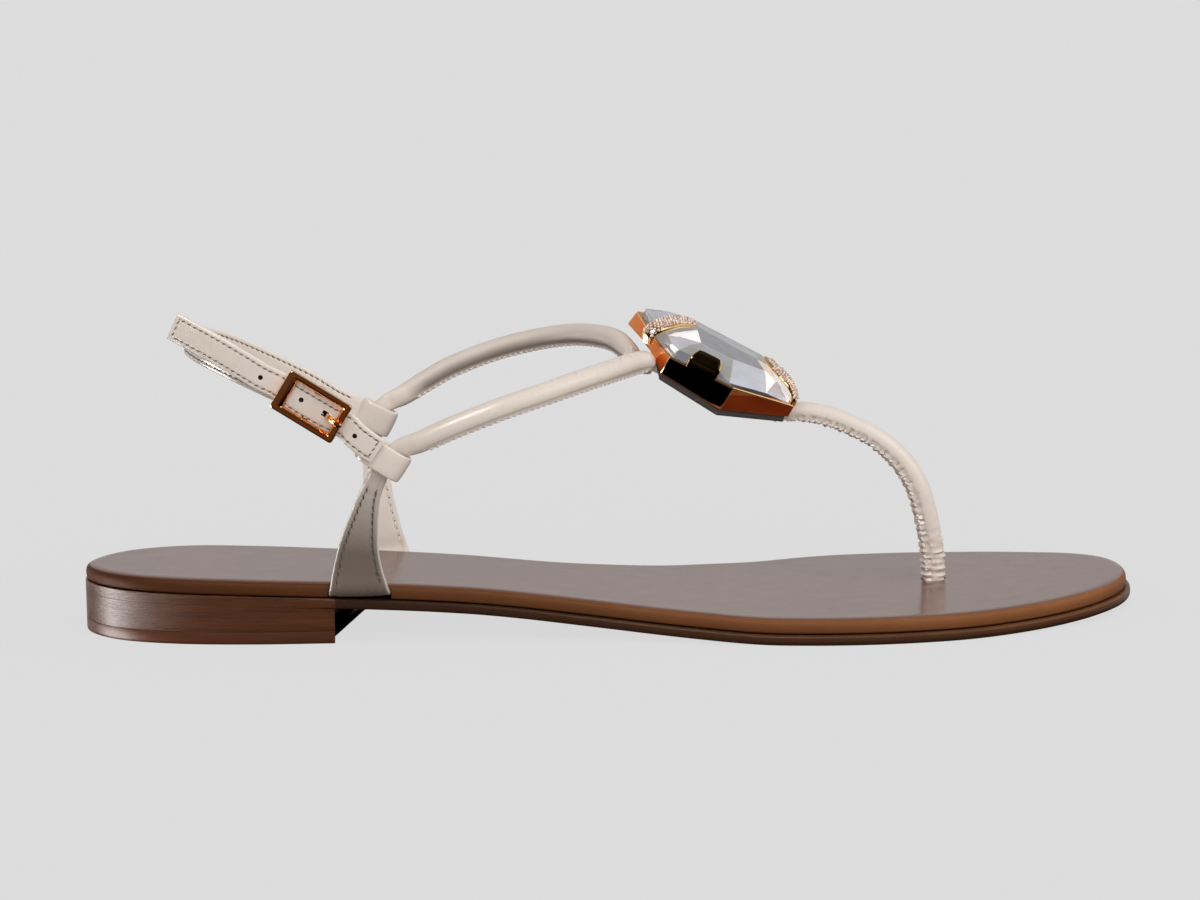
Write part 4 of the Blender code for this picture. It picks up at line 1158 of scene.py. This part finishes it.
def buildBuckle():
    b = buckleShape
    right, top = b["length"] / 2, b["width"] / 2
    outer = roundedRectangle((-right, -top), (right, top), b["outerCorner"], 6)
    inner = roundedRectangle((-right + b["backBar"], -top + b["sideBar"]),
                             (right - b["frontBar"], top - b["sideBar"]), b["innerCorner"], 6)
    count = len(outer)
    rings = [np.column_stack((outer + (inner - outer) * share, np.full(count, b["depth"] / 2 * height)))
             for share, height, tone in b["profile"]]
    tones = [tone for share, height, tone in b["profile"] for k in range(count)]
    piece = newPiece("buckle_rim", onBuckle(np.concatenate(rings)), ringFaces(len(rings), count, closed=True),
                     [deepGold, warmGold, paleGold], tones, crease=50.0)
    stand(piece, "gold_metal", "buckle_frame")
    earMiddle = (b["width"] - b["sideBar"]) / 2 - b["earInset"]
    earLevels = np.linspace(0.2, b["barDepth"] + b["barRadius"], 4)
    for label, side in (("upper", 1), ("lower", -1)):
        rows = [(0.0, side * earMiddle, -level, *b["earSize"], 4.0) for level in earLevels]
        metalRod("buckle_ear_" + label, rows, buckleAxes[1], 4, 32, "buckle_frame")
    thick = 2 * b["barRadius"]
    rows = [(0.0, side * earMiddle, -b["barDepth"], thick, thick, 2.0) for side in (-1, -0.3, 0.3, 1)]
    metalRod("buckle_bar", rows, buckleAxes[2], 4, 24, "buckle_frame")
    rows = [(along, 0.0, out, width, thickness, 2.0) for along, out, width, thickness in b["prong"]]
    metalRod("buckle_pin", rows, buckleAxes[2], 10, 32, "buckle_prong")


buildBuckle()


# Ankle strap: a stitched band; each end wraps the neck of a tab and is sewn back on itself

strapShape = {
    "points": 72,
    "steps": 12,
    "width": 6.6,
    "thickness": 1.6,
    "squareness": 5.0,
    # along, across, height
    "tail": ((23.9, -22.6, 76.2), (29.1, -25.0, 73.6), (34.3, -27.2, 70.9), (39.4, -29.1, 68.0),
             (44.4, -30.5, 65.0)),
    # along, across and width in the buckle's frame
    "inBuckle": ((-9.0, -0.1, 6.6), (-4.5, -0.5, 7.2), (0.0, -0.5, 7.3), (4.5, -0.4, 7.2), (9.0, 0.0, 6.6)),
    "buckleDepth": 1.9,
    # along, across, height, thickness
    "end": ((66.3, -33.9, 51.0, 1.5), (69.0, -34.5, 48.85, 1.2), (71.3, -34.85, 47.25, 0.9)),
    "backInBuckle": (1.9, 0.0, -2.6),
    "back": ((48.6, -28.7, 61.9), (44.1, -27.9, 64.0), (37.6, -25.2, 66.9), (31.2, -18.8, 69.2),
             (27.6, -9.5, 69.9), (26.7, -0.5, 69.3), (28.0, 7.0, 68.2), (32.6, 13.6, 66.0),
             (41.6, 20.4, 60.8), (53.4, 25.9, 53.7), (59.4, 28.0, 49.4), (63.2, 28.9, 47.4),
             (66.1, 29.4, 46.4)),
    "foldWidth": 5.8,
    "foldThickness": 3.4,
    "backThickness": 1.8,
    "loopWidth": 6.5,
    "loopThickness": 1.3,
    "holes": ((44.4, -30.4, 64.9), (53.8, -32.0, 59.6), (66.1, -33.9, 51.1)),
    "holeRadius": 0.58,
    "holeDepth": 3.2,
    "slot": (2.9, 4.0, 5.1),  # along the buckle, where the pin goes through
    "slotSize": (1.5, 4.0, 2.4),
    "stitchInset": 1.05,
    "stitchPitch": 1.6,
    "stitchSink": 0.05,
    "endStitchPitch": 1.4,
    "threadStarts": 1.3,
    "foldEnds": 9.0,  # the back strap's rows start past its fold round the bar
    "channelHalf": 0.24,
    "channelDepth": 0.12,
    "crownRise": 0.08,
}
# Where a strap end goes round a neck: middle, along, half of the straight part and the band's creases
loopShapes = {
    "outer": {"middle": (72.4, -30.9, 45.3), "along": (0.835, -0.05, -0.548), "straight": 3.0,
              "creases": ((18.0, 0.8, 0.07, 70.0, 50.0),)},
    "inner": {"middle": (69.3, 29.6, 44.8), "along": (0.885, 0.06, -0.462), "straight": 1.6,
              "creases": ((14.0, 0.7, 0.06, 100.0, 50.0),)},
}
loopRadius = 2.45


# A plain band once round the neck, its ends lapped on the hidden side
def buildLoop(name, loop, node):
    axes = strapAxes(loop["along"])
    half = loop["straight"]
    rows = [(0.6, -loopRadius + 0.3), (-half, -loopRadius)]
    for start, middle in ((270.0, -half), (90.0, half)):
        for step in range(1, 7):
            angle = math.radians(start - 30.0 * step)
            rows.append((middle + loopRadius * math.cos(angle), loopRadius * math.sin(angle)))
        rows.append((half, loopRadius) if middle < 0 else (-0.6, -loopRadius - 0.1))
    middle = np.array(loop["middle"])
    sized = [(*(middle + axes[0] * a + axes[2] * b), strapShape["loopWidth"], strapShape["loopThickness"],
              strapShape["squareness"]) for a, b in rows]
    band = skin(name, makeRoute(sized, -axes[2], 10), strapShape["points"], [creamLeather],
                strapRelief(None, loop["creases"]), strapMasks)
    stand(band, "strap_leather", node)


# sewn: where the stitch rows start and end, None on a plain band
def strapRelief(sewn, creases):
    s = strapShape

    def relief(route, i, outline):
        width, thickness = route["sizes"][i][:2]
        length = route["lengths"][i]
        sideways = np.abs(outline[:, 0])
        onFace = np.abs(outline[:, 1]) > thickness * reliefShape["faceShare"]
        crown = (1 - clamp(sideways / (width / 2)) ** 2) * onFace
        channel = np.zeros(len(outline))
        if sewn:
            inRow = clamp(length - sewn[0] + 1.0) * clamp(sewn[1] - length + 1.0)
            channel = bell(sideways - (width / 2 - s["stitchInset"]), s["channelHalf"]) * onFace * inRow
        height = (creaseHeight(length, turnsOf(outline), creases) - s["channelDepth"] * channel
                  + s["crownRise"] * crown)
        edge = clamp((sideways / (width / 2) - 0.90) / 0.06)
        return height, {"edge": edge * 0.6, "channel": channel * 0.2, "paintedShade": np.zeros(len(outline))}
    return relief


# One row of stitches across the strap's outer face
def endStitches(route, length):
    width = strapShape["width"] - 2 * strapShape["stitchInset"]
    i = int(np.argmin(np.abs(route["lengths"] - length)))
    middle, tangent, out, across = (route[key][i] for key in ("middles", "tangents", "outs", "acrosses"))
    surface = middle + out * (route["sizes"][i][1] / 2 + 0.03)
    count = int(width / strapShape["endStitchPitch"])
    return [(surface + across * ((k + 0.5) / count - 0.5) * width, np.array([across, tangent, out]))
            for k in range(count)]


def sewnStrap(node, route, rowsFrom, threadFrom, sewnEnd, creases, tools, endRows=()):
    s = strapShape
    piece = skin(node + "_leather", route, s["points"], [creamLeather],
                 strapRelief((rowsFrom, sewnEnd), creases), strapMasks)
    cut(piece, *tools)
    stand(piece, "strap_leather", node)
    lines = [faceLine(route, side, s["stitchInset"], face, threadFrom, sewnEnd, s["stitchPitch"],
                      -s["stitchSink"]) for side in (1, -1) for face in (1, -1)]
    lines += [endStitches(route, at) for at in endRows]
    stitchRows(node + "_stitches", lines, s["stitchPitch"], seamThread)


def buildFrontStrap():
    s = strapShape
    section = (s["width"], s["thickness"], s["squareness"])
    rows = [(*row, *section) for row in s["tail"]]
    rows += [(*onBuckle((along, across, -s["buckleDepth"])), width, *section[1:])
             for along, across, width in s["inBuckle"]]
    rows += [(*row, s["width"], thickness, s["squareness"]) for *row, thickness in s["end"]]
    route = makeRoute(rows, buckleAxes[2], s["steps"])
    sewnEnd = float(route["lengths"][-1]) - 1.1
    creases = ((26.0, 1.4, 0.05, 90.0, 60.0), (sewnEnd - 6.5, 1.1, 0.05, 90.0, 50.0))
    tools = [roundTool(f"hole {k}", spot + buckleAxes[2], s["holeRadius"], s["holeDepth"], buckleAxes, 28)
             for k, spot in enumerate(s["holes"])]
    slot = [(*onBuckle((along, 0.0, -s["buckleDepth"])), *s["slotSize"]) for along in s["slot"]]
    tools.append(skin("prong room", makeRoute(slot, buckleAxes[2], 4), 24, [paintedHoleShade]))
    threadFrom = s["threadStarts"]
    sewnStrap("ankle_strap_front", route, 1.0, threadFrom, sewnEnd, creases, tools, (threadFrom, sewnEnd))


def buildBackStrap():
    s = strapShape
    barDepth = buckleShape["barDepth"]
    rows = [(*onBuckle((along, 0.0, -barDepth)), s["foldWidth"], s["foldThickness"], s["squareness"])
            for along in s["backInBuckle"]]
    rows += [(*row, s["width"], s["backThickness"], s["squareness"]) for row in s["back"]]
    route = makeRoute(rows, buckleAxes[2], s["steps"])
    sewnEnd = float(route["lengths"][-1]) - 4.0
    creases = ((11.0, 1.2, 0.12, 90.0, 60.0), (15.0, 1.0, 0.10, -90.0, 60.0),
               (sewnEnd - 6.0, 1.0, 0.16, -90.0, 50.0), (sewnEnd - 9.5, 0.8, 0.12, -70.0, 40.0))
    barRoom = roundTool("bar room", onBuckle((0.0, 0.0, -barDepth)), 0.7, 14.0,
                        np.roll(buckleAxes, 1, axis=0), 24)
    sewnStrap("ankle_strap_back", route, s["foldEnds"], s["foldEnds"], sewnEnd, creases, [barRoom])


buildFrontStrap()
buildBackStrap()
buildLoop("loop_outer", loopShapes["outer"], "ankle_strap_front")
buildLoop("loop_inner", loopShapes["inner"], "ankle_strap_back")
print("ankle strap and buckle made")


# Jewel: a gold tray, the cut stone in it, a suede pad below and stone-set claws over its ends

jewelShape = {
    # along, across, wall depth, foot along, foot across
    "rim": (
        (-19.1, 12.0, 3.8, -20.1, 11.2), (-15.8, 0.2, 2.9, -16.0, 1.0), (-12.0, -7.2, 5.0, -12.2, -6.85),
        (4.0, -12.3, 6.8, 3.4, -11.8), (20.0, -11.0, 3.4, 19.9, -10.5), (15.6, 8.6, 3.8, 15.2, 8.2),
        (-5.8, 17.0, 6.2, -5.7, 16.4),
    ),
    "middleDepth": 5.0,
    "wall": 0.9,
    "floor": 0.9,
    "girdleDrop": 0.5,
    "girdleRise": 0.9,
    "crownRise": 2.7,
    "tableInset": 4.6,
    "padThickness": 2.0,
    "padInset": 0.5,
    "padRear": ((-15.6, 9.4), (-13.4, 0.6)),
    "stonePitch": 2.06,  # of the small stones, in their radius
    "rowPitch": 0.84,
    "edgeRoom": 0.75,
    "bead": (0.3, 0.15, 6),  # length, radius, sides
    # inset from the wall, height, length
    "sideClaw": ((0.45, -1.2, 8.2), (0.45, 0.6, 8.2), (0.65, 1.75, 8.0), (1.75, 2.75, 7.2), (3.05, 3.4, 5.7)),
    # along, across, height, width, thickness, squareness
    "rearClaw": ((-17.1, -1.0, -0.9, 3.2, 2.0, 2.4), (-17.4, -1.0, 1.0, 3.6, 2.0, 2.4),
                 (-16.2, -0.1, 2.7, 4.3, 1.9, 2.4), (-13.9, 2.1, 3.5, 4.9, 1.8, 2.4),
                 (-11.2, 4.6, 3.8, 4.9, 1.6, 2.4), (-7.8, 6.9, 3.8, 4.2, 1.3, 2.2),
                 (-5.6, 8.3, 3.7, 2.2, 0.9, 2.0)),
    "frontClaw": ((19.9, -8.9, -0.8, 1.8, 1.4, 2.4), (19.8, -8.6, 1.0, 2.0, 1.4, 2.4),
                  (18.7, -7.0, 2.4, 2.8, 1.4, 2.4), (16.6, -4.2, 3.2, 3.5, 1.3, 2.4),
                  (14.6, -1.0, 3.4, 3.2, 1.2, 2.4), (12.9, 1.8, 3.5, 2.2, 1.0, 2.2),
                  (12.2, 2.8, 3.4, 1.0, 0.8, 2.0)),
}


def insetCorners(corners, distance):
    corners = np.array(corners, float)
    inner = []
    for i, corner in enumerate(corners):
        normals = []
        for a, b in ((corners[i - 1], corner), (corner, corners[(i + 1) % len(corners)])):
            edge = unit(b - a)
            normals.append(np.array([-edge[1], edge[0]]))
        inner.append(corner + np.linalg.solve(np.array(normals), np.full(2, distance)))
    return np.array(inner)


def insetRim(distance):
    return insetCorners([row[:2] for row in jewelShape["rim"]], distance)


def insetFoot(distance):
    return insetCorners([row[3:] for row in jewelShape["rim"]], distance)


def cutSolid(name, levels, bottom, top, finishes, soften):
    count = len(levels[0][0])
    points = [(*corner, height) for corners, heights in levels for corner, height in zip(corners, heights)]
    faces = ringFaces(len(levels), count)
    low, high = len(points), len(points) + 1
    points += [(*levels[0][0].mean(axis=0), bottom), (*levels[-1][0].mean(axis=0), top)]
    faces += endCap(0, low, count, False) + endCap((len(levels) - 1) * count, high, count, True)
    piece = newPiece(name, fromJewel(points), faces, finishes, crease=20.0)
    if soften:
        bevel = piece.modifiers.new("softened edges", "BEVEL")
        bevel.width = soften * millimetre
        bevel.segments = 3
        bevel.limit_method = "ANGLE"
        bevel.angle_limit = math.radians(12.0)
        bevel.material = len(finishes) - 1
        applyShape(piece, 30.0)
    return piece


def makeCrystal():
    finish, tree, shader = newFinish("cut crystal", (0.97, 0.975, 0.985), 0.0, Transmission_Weight=1.0,
                                     IOR=1.52)
    tint = span(tree, noise(tree, place(tree), 9.0, 1.0), 0.3, 0.7)
    colour = blendColour(tree, tint, (0.965, 0.975, 0.99), (0.985, 0.985, 0.985))
    tree.links.new(colour, shader.inputs["Base Color"])
    return finish


def makeFoil(name, colour, metallic, roughness, glow):
    finish, tree, shader = newFinish(name, colour, roughness, Metallic=metallic,
                                     Emission_Color=(*colour, 1.0), Emission_Strength=glow)
    lines = noise(tree, place(tree, (0.2, 1.0, 1.0)), 1.6, 2.0)
    dull = tuple(c * 0.9 for c in colour)
    tree.links.new(blendColour(tree, span(tree, lines, 0.4, 0.6), dull, colour), shader.inputs["Base Color"])
    return finish


def buildTray():
    j = jewelShape
    depths = np.array([row[2] for row in j["rim"]])
    flat = np.zeros(len(depths))
    levels = ((insetFoot(0.0), -depths), (insetRim(0.0), flat - 0.25), (insetRim(0.2), flat),
              (insetRim(j["wall"]), flat), (insetFoot(j["wall"]), j["floor"] - depths))
    # deep gold on the faces as painted reflection, pale gold on the softened edges as painted highlight
    tray = cutSolid("jewel_tray", levels, -j["middleDepth"], j["floor"] - j["middleDepth"],
                    [deepGold, paleGold], 0.2)
    stand(tray, "gold_metal", "jewel_setting")
    pad = insetFoot(j["padInset"])
    pad[:2] = j["padRear"]
    padMiddle = pad.copy()
    padMiddle[2:] = insetFoot(j["padInset"] - 0.15)[2:]
    low, high = -depths - pieceGap - j["padThickness"], -depths - pieceGap
    levels = ((pad, low + 0.3), (padMiddle, low + 0.9), (pad, high))
    backing = cutSolid("jewel_pad", levels, -j["middleDepth"] - pieceGap - j["padThickness"],
                       -j["middleDepth"] - pieceGap, [suede], 0.3)
    stand(backing, "pad_suede", "jewel_backing")
    start, end = (np.array(j["rim"][2 + k][:2]) for k in (0, 1))
    edge = unit(end - start)
    inward = np.array([-edge[1], edge[0]])
    rows = []
    for inset, height, length in smoothPath(j["sideClaw"], 3):
        at = (start + end) / 2 + inward * inset
        rows.append((*fromJewel((at[0], at[1], height)), length, j["wall"] + 0.15, 3.6))
    along, out = edge @ jewelAxes()[:2], -(inward @ jewelAxes()[:2])
    claw = skin("jewel_side_claw", makeRoute(rows, out, 4), 64, [shadedGold], crease=60.0)
    tip = unit(jewelAxes()[2] - out)
    # painted light: pale gold on its sides and bent tip as painted highlights, dark gold on its broad face as
    # a painted reflection of the dark room
    refinish(claw, paleGold, lambda polygon: abs(np.dot(polygon.normal, along)) > 0.35
             or np.dot(polygon.normal, tip) > 0.8)
    stand(claw, "gold_metal", "jewel_setting")


# Foiled facets seen through the stone; their foils paint the light and reflections each facet shows. Each row
# of facets names its corners, then its foil
stoneCut = {
    "tableEnd": (-12.9, 11.2),  # the table's far rear corner, drawn out to the rim
    "cornerRise": 1.5,
    # along, across, height in the jewel's frame
    "corners": {
        "a0": (-17.3, 11.4, 0.6), "a1": (-14.5, 0.7, -0.3), "a2": (-10.9, -6.0, -0.3),
        "a3": (4.1, -10.95, -0.3), "a4": (18.4, -9.7, -0.3), "a5": (14.3, 7.6, 0.4), "a6": (-5.7, 15.4, 0.4),
        "b": (-12.5, 0.5, 1.4), "c": (-4.8, 7.1, 2.2), "d": (-4.3, 0.6, 2.2), "e": (-10.0, -4.8, 1.3),
        "f": (3.7, -2.3, 2.2), "g": (11.8, -2.6, 2.2), "h": (12.5, -10.1, 0.5), "i": (3.1, -10.8, 0.2),
        "j": (-5.6, 9.4, 2.2), "k": (10.4, 2.2, 2.2), "l": (-9.8, 13.2, 1.3), "m": (9.3, -10.2, 0.4),
        "n": (-12.2, -3.1, 0.9), "o": (-11.6, -2.7, 1.2), "p": (15.0, -4.5, 1.2), "q": (14.6, 1.5, 1.0),
        "r": (10.8, 5.0, 2.2), "s": (-5.6, 12.0, 2.2), "t": (-1.0, -7.8, 1.3),
    },
    "facets": (
        ("b c d", "white"), ("b d e", "lilac"), ("c d f g k j", "grey"), ("j k r s", "pale"),
        ("s r a5 a6", "pale"), ("f g h", "blue"), ("f h m", "blue"), ("f m i", "blue"),
        ("d e t", "mid"), ("d t f", "pale"), ("t f i", "mid"), ("e a2 a3 i t", "slate"),
        ("a1 b o n", "pale"), ("n o e a2", "mid"), ("b e o", "lilac"), ("i m a3", "deep"),
        ("m h a4 a3", "deep"), ("g p h", "white"), ("h p a4", "lilac"), ("g k q p", "peach"),
        ("q a5 a4 p", "white"), ("k r a5 q", "mid"), ("a0 a1 b", "mid"), ("a0 b l", "lilac"),
        ("l b c j", "pale"), ("a0 l a6", "mid"), ("l j s a6", "pale"),
    ),
    # colour, share of mirror, roughness, glow that stands for the light caught in the stone
    "foils": {
        "deep": ((0.10, 0.10, 0.12), 0.3, 0.2, 0.05),
        "white": ((0.95, 0.95, 0.93), 0.0, 0.3, 0.66),
        "pale": ((0.62, 0.61, 0.63), 0.4, 0.15, 0.24),
        "lilac": ((0.60, 0.57, 0.62), 0.3, 0.2, 0.40),
        "grey": ((0.54, 0.525, 0.545), 1.0, 0.12, 0.03),
        "mid": ((0.44, 0.44, 0.40), 0.3, 0.2, 0.35),
        "blue": ((0.60, 0.61, 0.65), 0.2, 0.2, 0.50),
        "slate": ((0.30, 0.31, 0.33), 0.3, 0.2, 0.40),
        "peach": ((0.90, 0.80, 0.70), 0.1, 0.2, 0.45),
    },
}


def buildCrystal():
    j = jewelShape
    flat = np.zeros(len(j["rim"]))
    girdle = insetRim(j["wall"] + pieceGap)
    table = insetRim(j["tableInset"])
    table[0] = stoneCut["tableEnd"]
    shoulder = flat + j["girdleRise"]
    shoulder[0] = stoneCut["cornerRise"]
    levels = ((girdle, flat - j["girdleDrop"]), (girdle, shoulder), (table, flat + j["crownRise"]))
    stone = cutSolid("crystal_stone", levels, -j["girdleDrop"], j["crownRise"], [makeCrystal()], 0.0)
    stone.data.set_sharp_from_angle(angle=math.radians(1.0))
    stand(stone, "crystal_glass", "crystal")
    names = list(stoneCut["corners"])
    foilNames = list(stoneCut["foils"])
    foils = [makeFoil("foil " + name, *stoneCut["foils"][name]) for name in foilNames]
    faces = [[names.index(corner) for corner in corners.split()] for corners, foil in stoneCut["facets"]]
    finishOf = [foilNames.index(foil) for corners, foil in stoneCut["facets"]]
    corners = fromJewel(list(stoneCut["corners"].values()))
    piece = newPiece("crystal_foil", corners, faces, foils, finishOf, crease=1.0)
    stand(piece, "crystal_glass", "crystal")


def gemShape(radius, height, sides):
    rings = ((0.0, radius), (height * 0.45, radius * 0.8), (height, radius * 0.42))
    points = []
    for number, (z, size) in enumerate(rings):
        for k in range(sides):
            angle = 2 * math.pi * (k + 0.5 * (number % 2)) / sides
            points.append((size * math.cos(angle), size * math.sin(angle), z))
    faces = ringFaces(3, sides) + [list(range(2 * sides, 3 * sides)), list(range(sides))[::-1]]
    return np.array(points), faces


# A claw with staggered rows of small stones and a gold bead between each two
def buildClaw(name, rows, node, stoneRadius, start, end):
    foot, tip = fromJewel(rows[0][:3]), fromJewel(rows[-1][:3])
    route = makeRoute([(*fromJewel(row[:3]), *row[3:]) for row in rows], foot - tip, 8)
    stand(skin(name, route, 48, [paleGold], crease=60.0), "gold_metal", node)
    pitch = stoneRadius * jewelShape["stonePitch"]
    gems, beads = [], []
    for row in range(-2, 3):
        a = row * pitch * jewelShape["rowPitch"]
        for k in range(int((end - start) / pitch)):
            here = start + 0.5 * pitch * (row % 2) + k * pitch
            for at, target in ((here, gems), (here + 0.5 * pitch, beads)):
                middle, tangent, out, across, (width, thickness, power) = routeAt(route, at)
                if at > end or abs(a) > width / 2 - stoneRadius * jewelShape["edgeRoom"]:
                    continue
                b = (1 - (2 * abs(a) / width) ** power) ** (1 / power) * thickness / 2
                spot = middle + across * a + out * (b - 0.05)
                lean = math.atan2(a, width)
                out = unit(out * math.cos(lean) + across * math.sin(lean))
                side = unit(np.cross(out, tangent))
                target.append((spot, np.array([unit(np.cross(side, out)), side, out])))
    gem = gemShape(stoneRadius, stoneRadius * 0.8, 8)
    stand(scatter(name + "_stones", gem, gems, paveStone, crease=5.0), "crystal_glass")
    stand(scatter(name + "_beads", capsule(*jewelShape["bead"]), beads, paleGold), "gold_metal")


paveStone = makePlain("small stone", (0.95, 0.80, 0.76), 0.06, 0.62, (0.36, 0.20, 0.13), Coat_Weight=1.0,
                      Coat_Roughness=0.03)
buildTray()
buildCrystal()
buildClaw("claw_rear_gold", jewelShape["rearClaw"], "claw_rear", 0.42, 2.2, 18.4)
buildClaw("claw_front_gold", jewelShape["frontClaw"], "claw_front", 0.38, 1.6, 15.6)
print("jewel made")


# Studio: a pale floor with a glow of its own, under a sky that holds all the lights

studio = {
    "floorColour": (0.06, 0.06, 0.06),
    "floorGlow": 0.670,  # most of the floor's tone is its own, so that the sandal's shadow stays faint
    "floorSize": 12.0,
    "backdrop": 0.716,
    # strength for matt surfaces and for the gloss, and where in the sky each part fades in or out
    "farGlow": (0.36, 0.61),
    "farAcross": (-0.25, 0.15),
    "farUp": (-0.45, -0.1),
    "farTop": (0.45, 0.8, 1.0, 0.3),
    "topGlow": (0.19, 0.06),
    "topUp": (0.1, 0.6),
    "fill": (0.36, 0.0),
    "fillAcross": (-0.3, 0.3, 1.0, 0.0),
    # direction, half angle and soft edge in degrees, strength for matt surfaces and for the gloss
    "boxes": (
        ((0.15, -0.80, 0.58), 28.0, 12.0, 1.85, 0.0),
        ((-0.36, -0.52, 0.77), 13.0, 5.0, 0.0, 8.0),
        ((0.80, -0.35, 0.50), 18.0, 9.0, 1.5, 1.4),
        ((-0.96, -0.05, -0.26), 20.0, 5.0, 0.6, 14.0),
        ((0.25, -0.55, -0.80), 14.0, 10.0, 0.0, 0.20),
        ((-0.30, -0.95, -0.10), 14.0, 10.0, 0.0, 0.12),
    ),
}


def buildFloor():
    finish = newFinish("floor", studio["floorColour"], 0.9, Specular_IOR_Level=0.0,
                       Emission_Color=(1.0, 1.0, 1.0, 1.0), Emission_Strength=studio["floorGlow"])[0]
    half = studio["floorSize"] / 2
    mesh = bpy.data.meshes.new("floor")
    corners = [(-half, -half, 0), (half, -half, 0), (half, half, 0), (-half, half, 0)]
    mesh.from_pydata(corners, [], [(0, 1, 2, 3)])
    mesh.materials.append(finish)
    floor = bpy.data.objects.new("floor", mesh)
    bpy.context.scene.collection.objects.link(floor)
    floor.location.z = -0.00003
    floor.visible_glossy = False  # the gloss and the undersides keep the dark stand of the photograph
    floor.visible_diffuse = False
    floor.visible_shadow = False


# All the light comes from the sky: a pale far wall, a soft top, a dark front and softbox patches
def buildSky():
    world = bpy.data.worlds.new("studio")
    bpy.context.scene.world = world
    world.use_nodes = True
    tree = world.node_tree
    background = tree.nodes["Background"]
    background.inputs["Color"].default_value = (1.0, 1.0, 1.0, 1.0)
    where = addNode(tree, "TexCoord").outputs["Generated"]
    parts = addNode(tree, "SeparateXYZ", {"Vector": where})
    across, up = parts.outputs["Y"], parts.outputs["Z"]
    path = addNode(tree, "LightPath")
    gloss = path.outputs["Is Glossy Ray"]

    def strength(matt, shine):
        return plus(times(gloss, shine - matt), matt)

    farWall = times(fade(tree, across, *studio["farAcross"]), fade(tree, up, *studio["farUp"]))
    farWall = times(farWall, fade(tree, up, *studio["farTop"]))
    patches = [
        (farWall, studio["farGlow"]),
        (fade(tree, up, *studio["topUp"]), studio["topGlow"]),
        (fade(tree, across, *studio["fillAcross"]), studio["fill"]),
    ]
    for direction, half, soft, *strengths in studio["boxes"]:
        inputs = {0: where, 1: tuple(unit(np.array(direction)))}
        nearness = addNode(tree, "VectorMath", inputs, operation="DOT_PRODUCT").outputs["Value"]
        low, high = (math.cos(math.radians(angle)) for angle in (half + soft, max(half - soft, 0.5)))
        patches.append((fade(tree, nearness, low, high), strengths))
    light = 0.0
    for shape, strengths in patches:
        light = plus(light, times(shape, strength(*strengths)))
    # the camera sees the plain backdrop in place of the sky
    seen = path.outputs["Is Camera Ray"]
    rest = times(span(tree, seen, 0.0, 1.0, 1.0, 0.0), light)
    tree.links.new(plus(times(seen, studio["backdrop"]), rest), background.inputs["Strength"])


buildFloor()
buildSky()


# Camera at the photograph's angle: the picture is 1200 by 900

viewSetup = {
    "azimuth": -0.5,
    "elevation": 9.75,
    "roll": 1.234,
    "distance": 1.5,
    "target": (-0.001526, -0.0002, 0.040493),
    "pixelsPerMillimetre": 4.181,
    "pictureWidth": 1200,
    "sensor": 36.0,
}


def buildCamera():
    v = viewSetup
    azimuth, elevation, roll = (math.radians(v[k]) for k in ("azimuth", "elevation", "roll"))
    back = Vector((math.sin(azimuth) * math.cos(elevation), -math.cos(azimuth) * math.cos(elevation),
                   math.sin(elevation)))
    right = Vector((math.cos(azimuth), math.sin(azimuth), 0.0))
    up = back.cross(right)
    rolledRight = right * math.cos(roll) - up * math.sin(roll)
    rolledUp = right * math.sin(roll) + up * math.cos(roll)
    turn = Matrix((rolledRight, rolledUp, back)).transposed()
    data = bpy.data.cameras.new("photo camera")
    data.sensor_width = v["sensor"]
    data.lens = v["pixelsPerMillimetre"] * v["distance"] / millimetre / v["pictureWidth"] * v["sensor"]
    data.clip_start, data.clip_end = 0.05, 50.0
    camera = bpy.data.objects.new("photo camera", data)
    bpy.context.scene.collection.objects.link(camera)
    camera.rotation_mode = "QUATERNION"
    camera.rotation_quaternion = turn.to_quaternion()
    camera.location = Vector(v["target"]) + back * v["distance"]
    bpy.context.scene.camera = camera


buildCamera()
bpy.context.scene.view_settings.view_transform = "Standard"
bpy.context.scene.view_settings.look = "None"
print("studio and camera made")
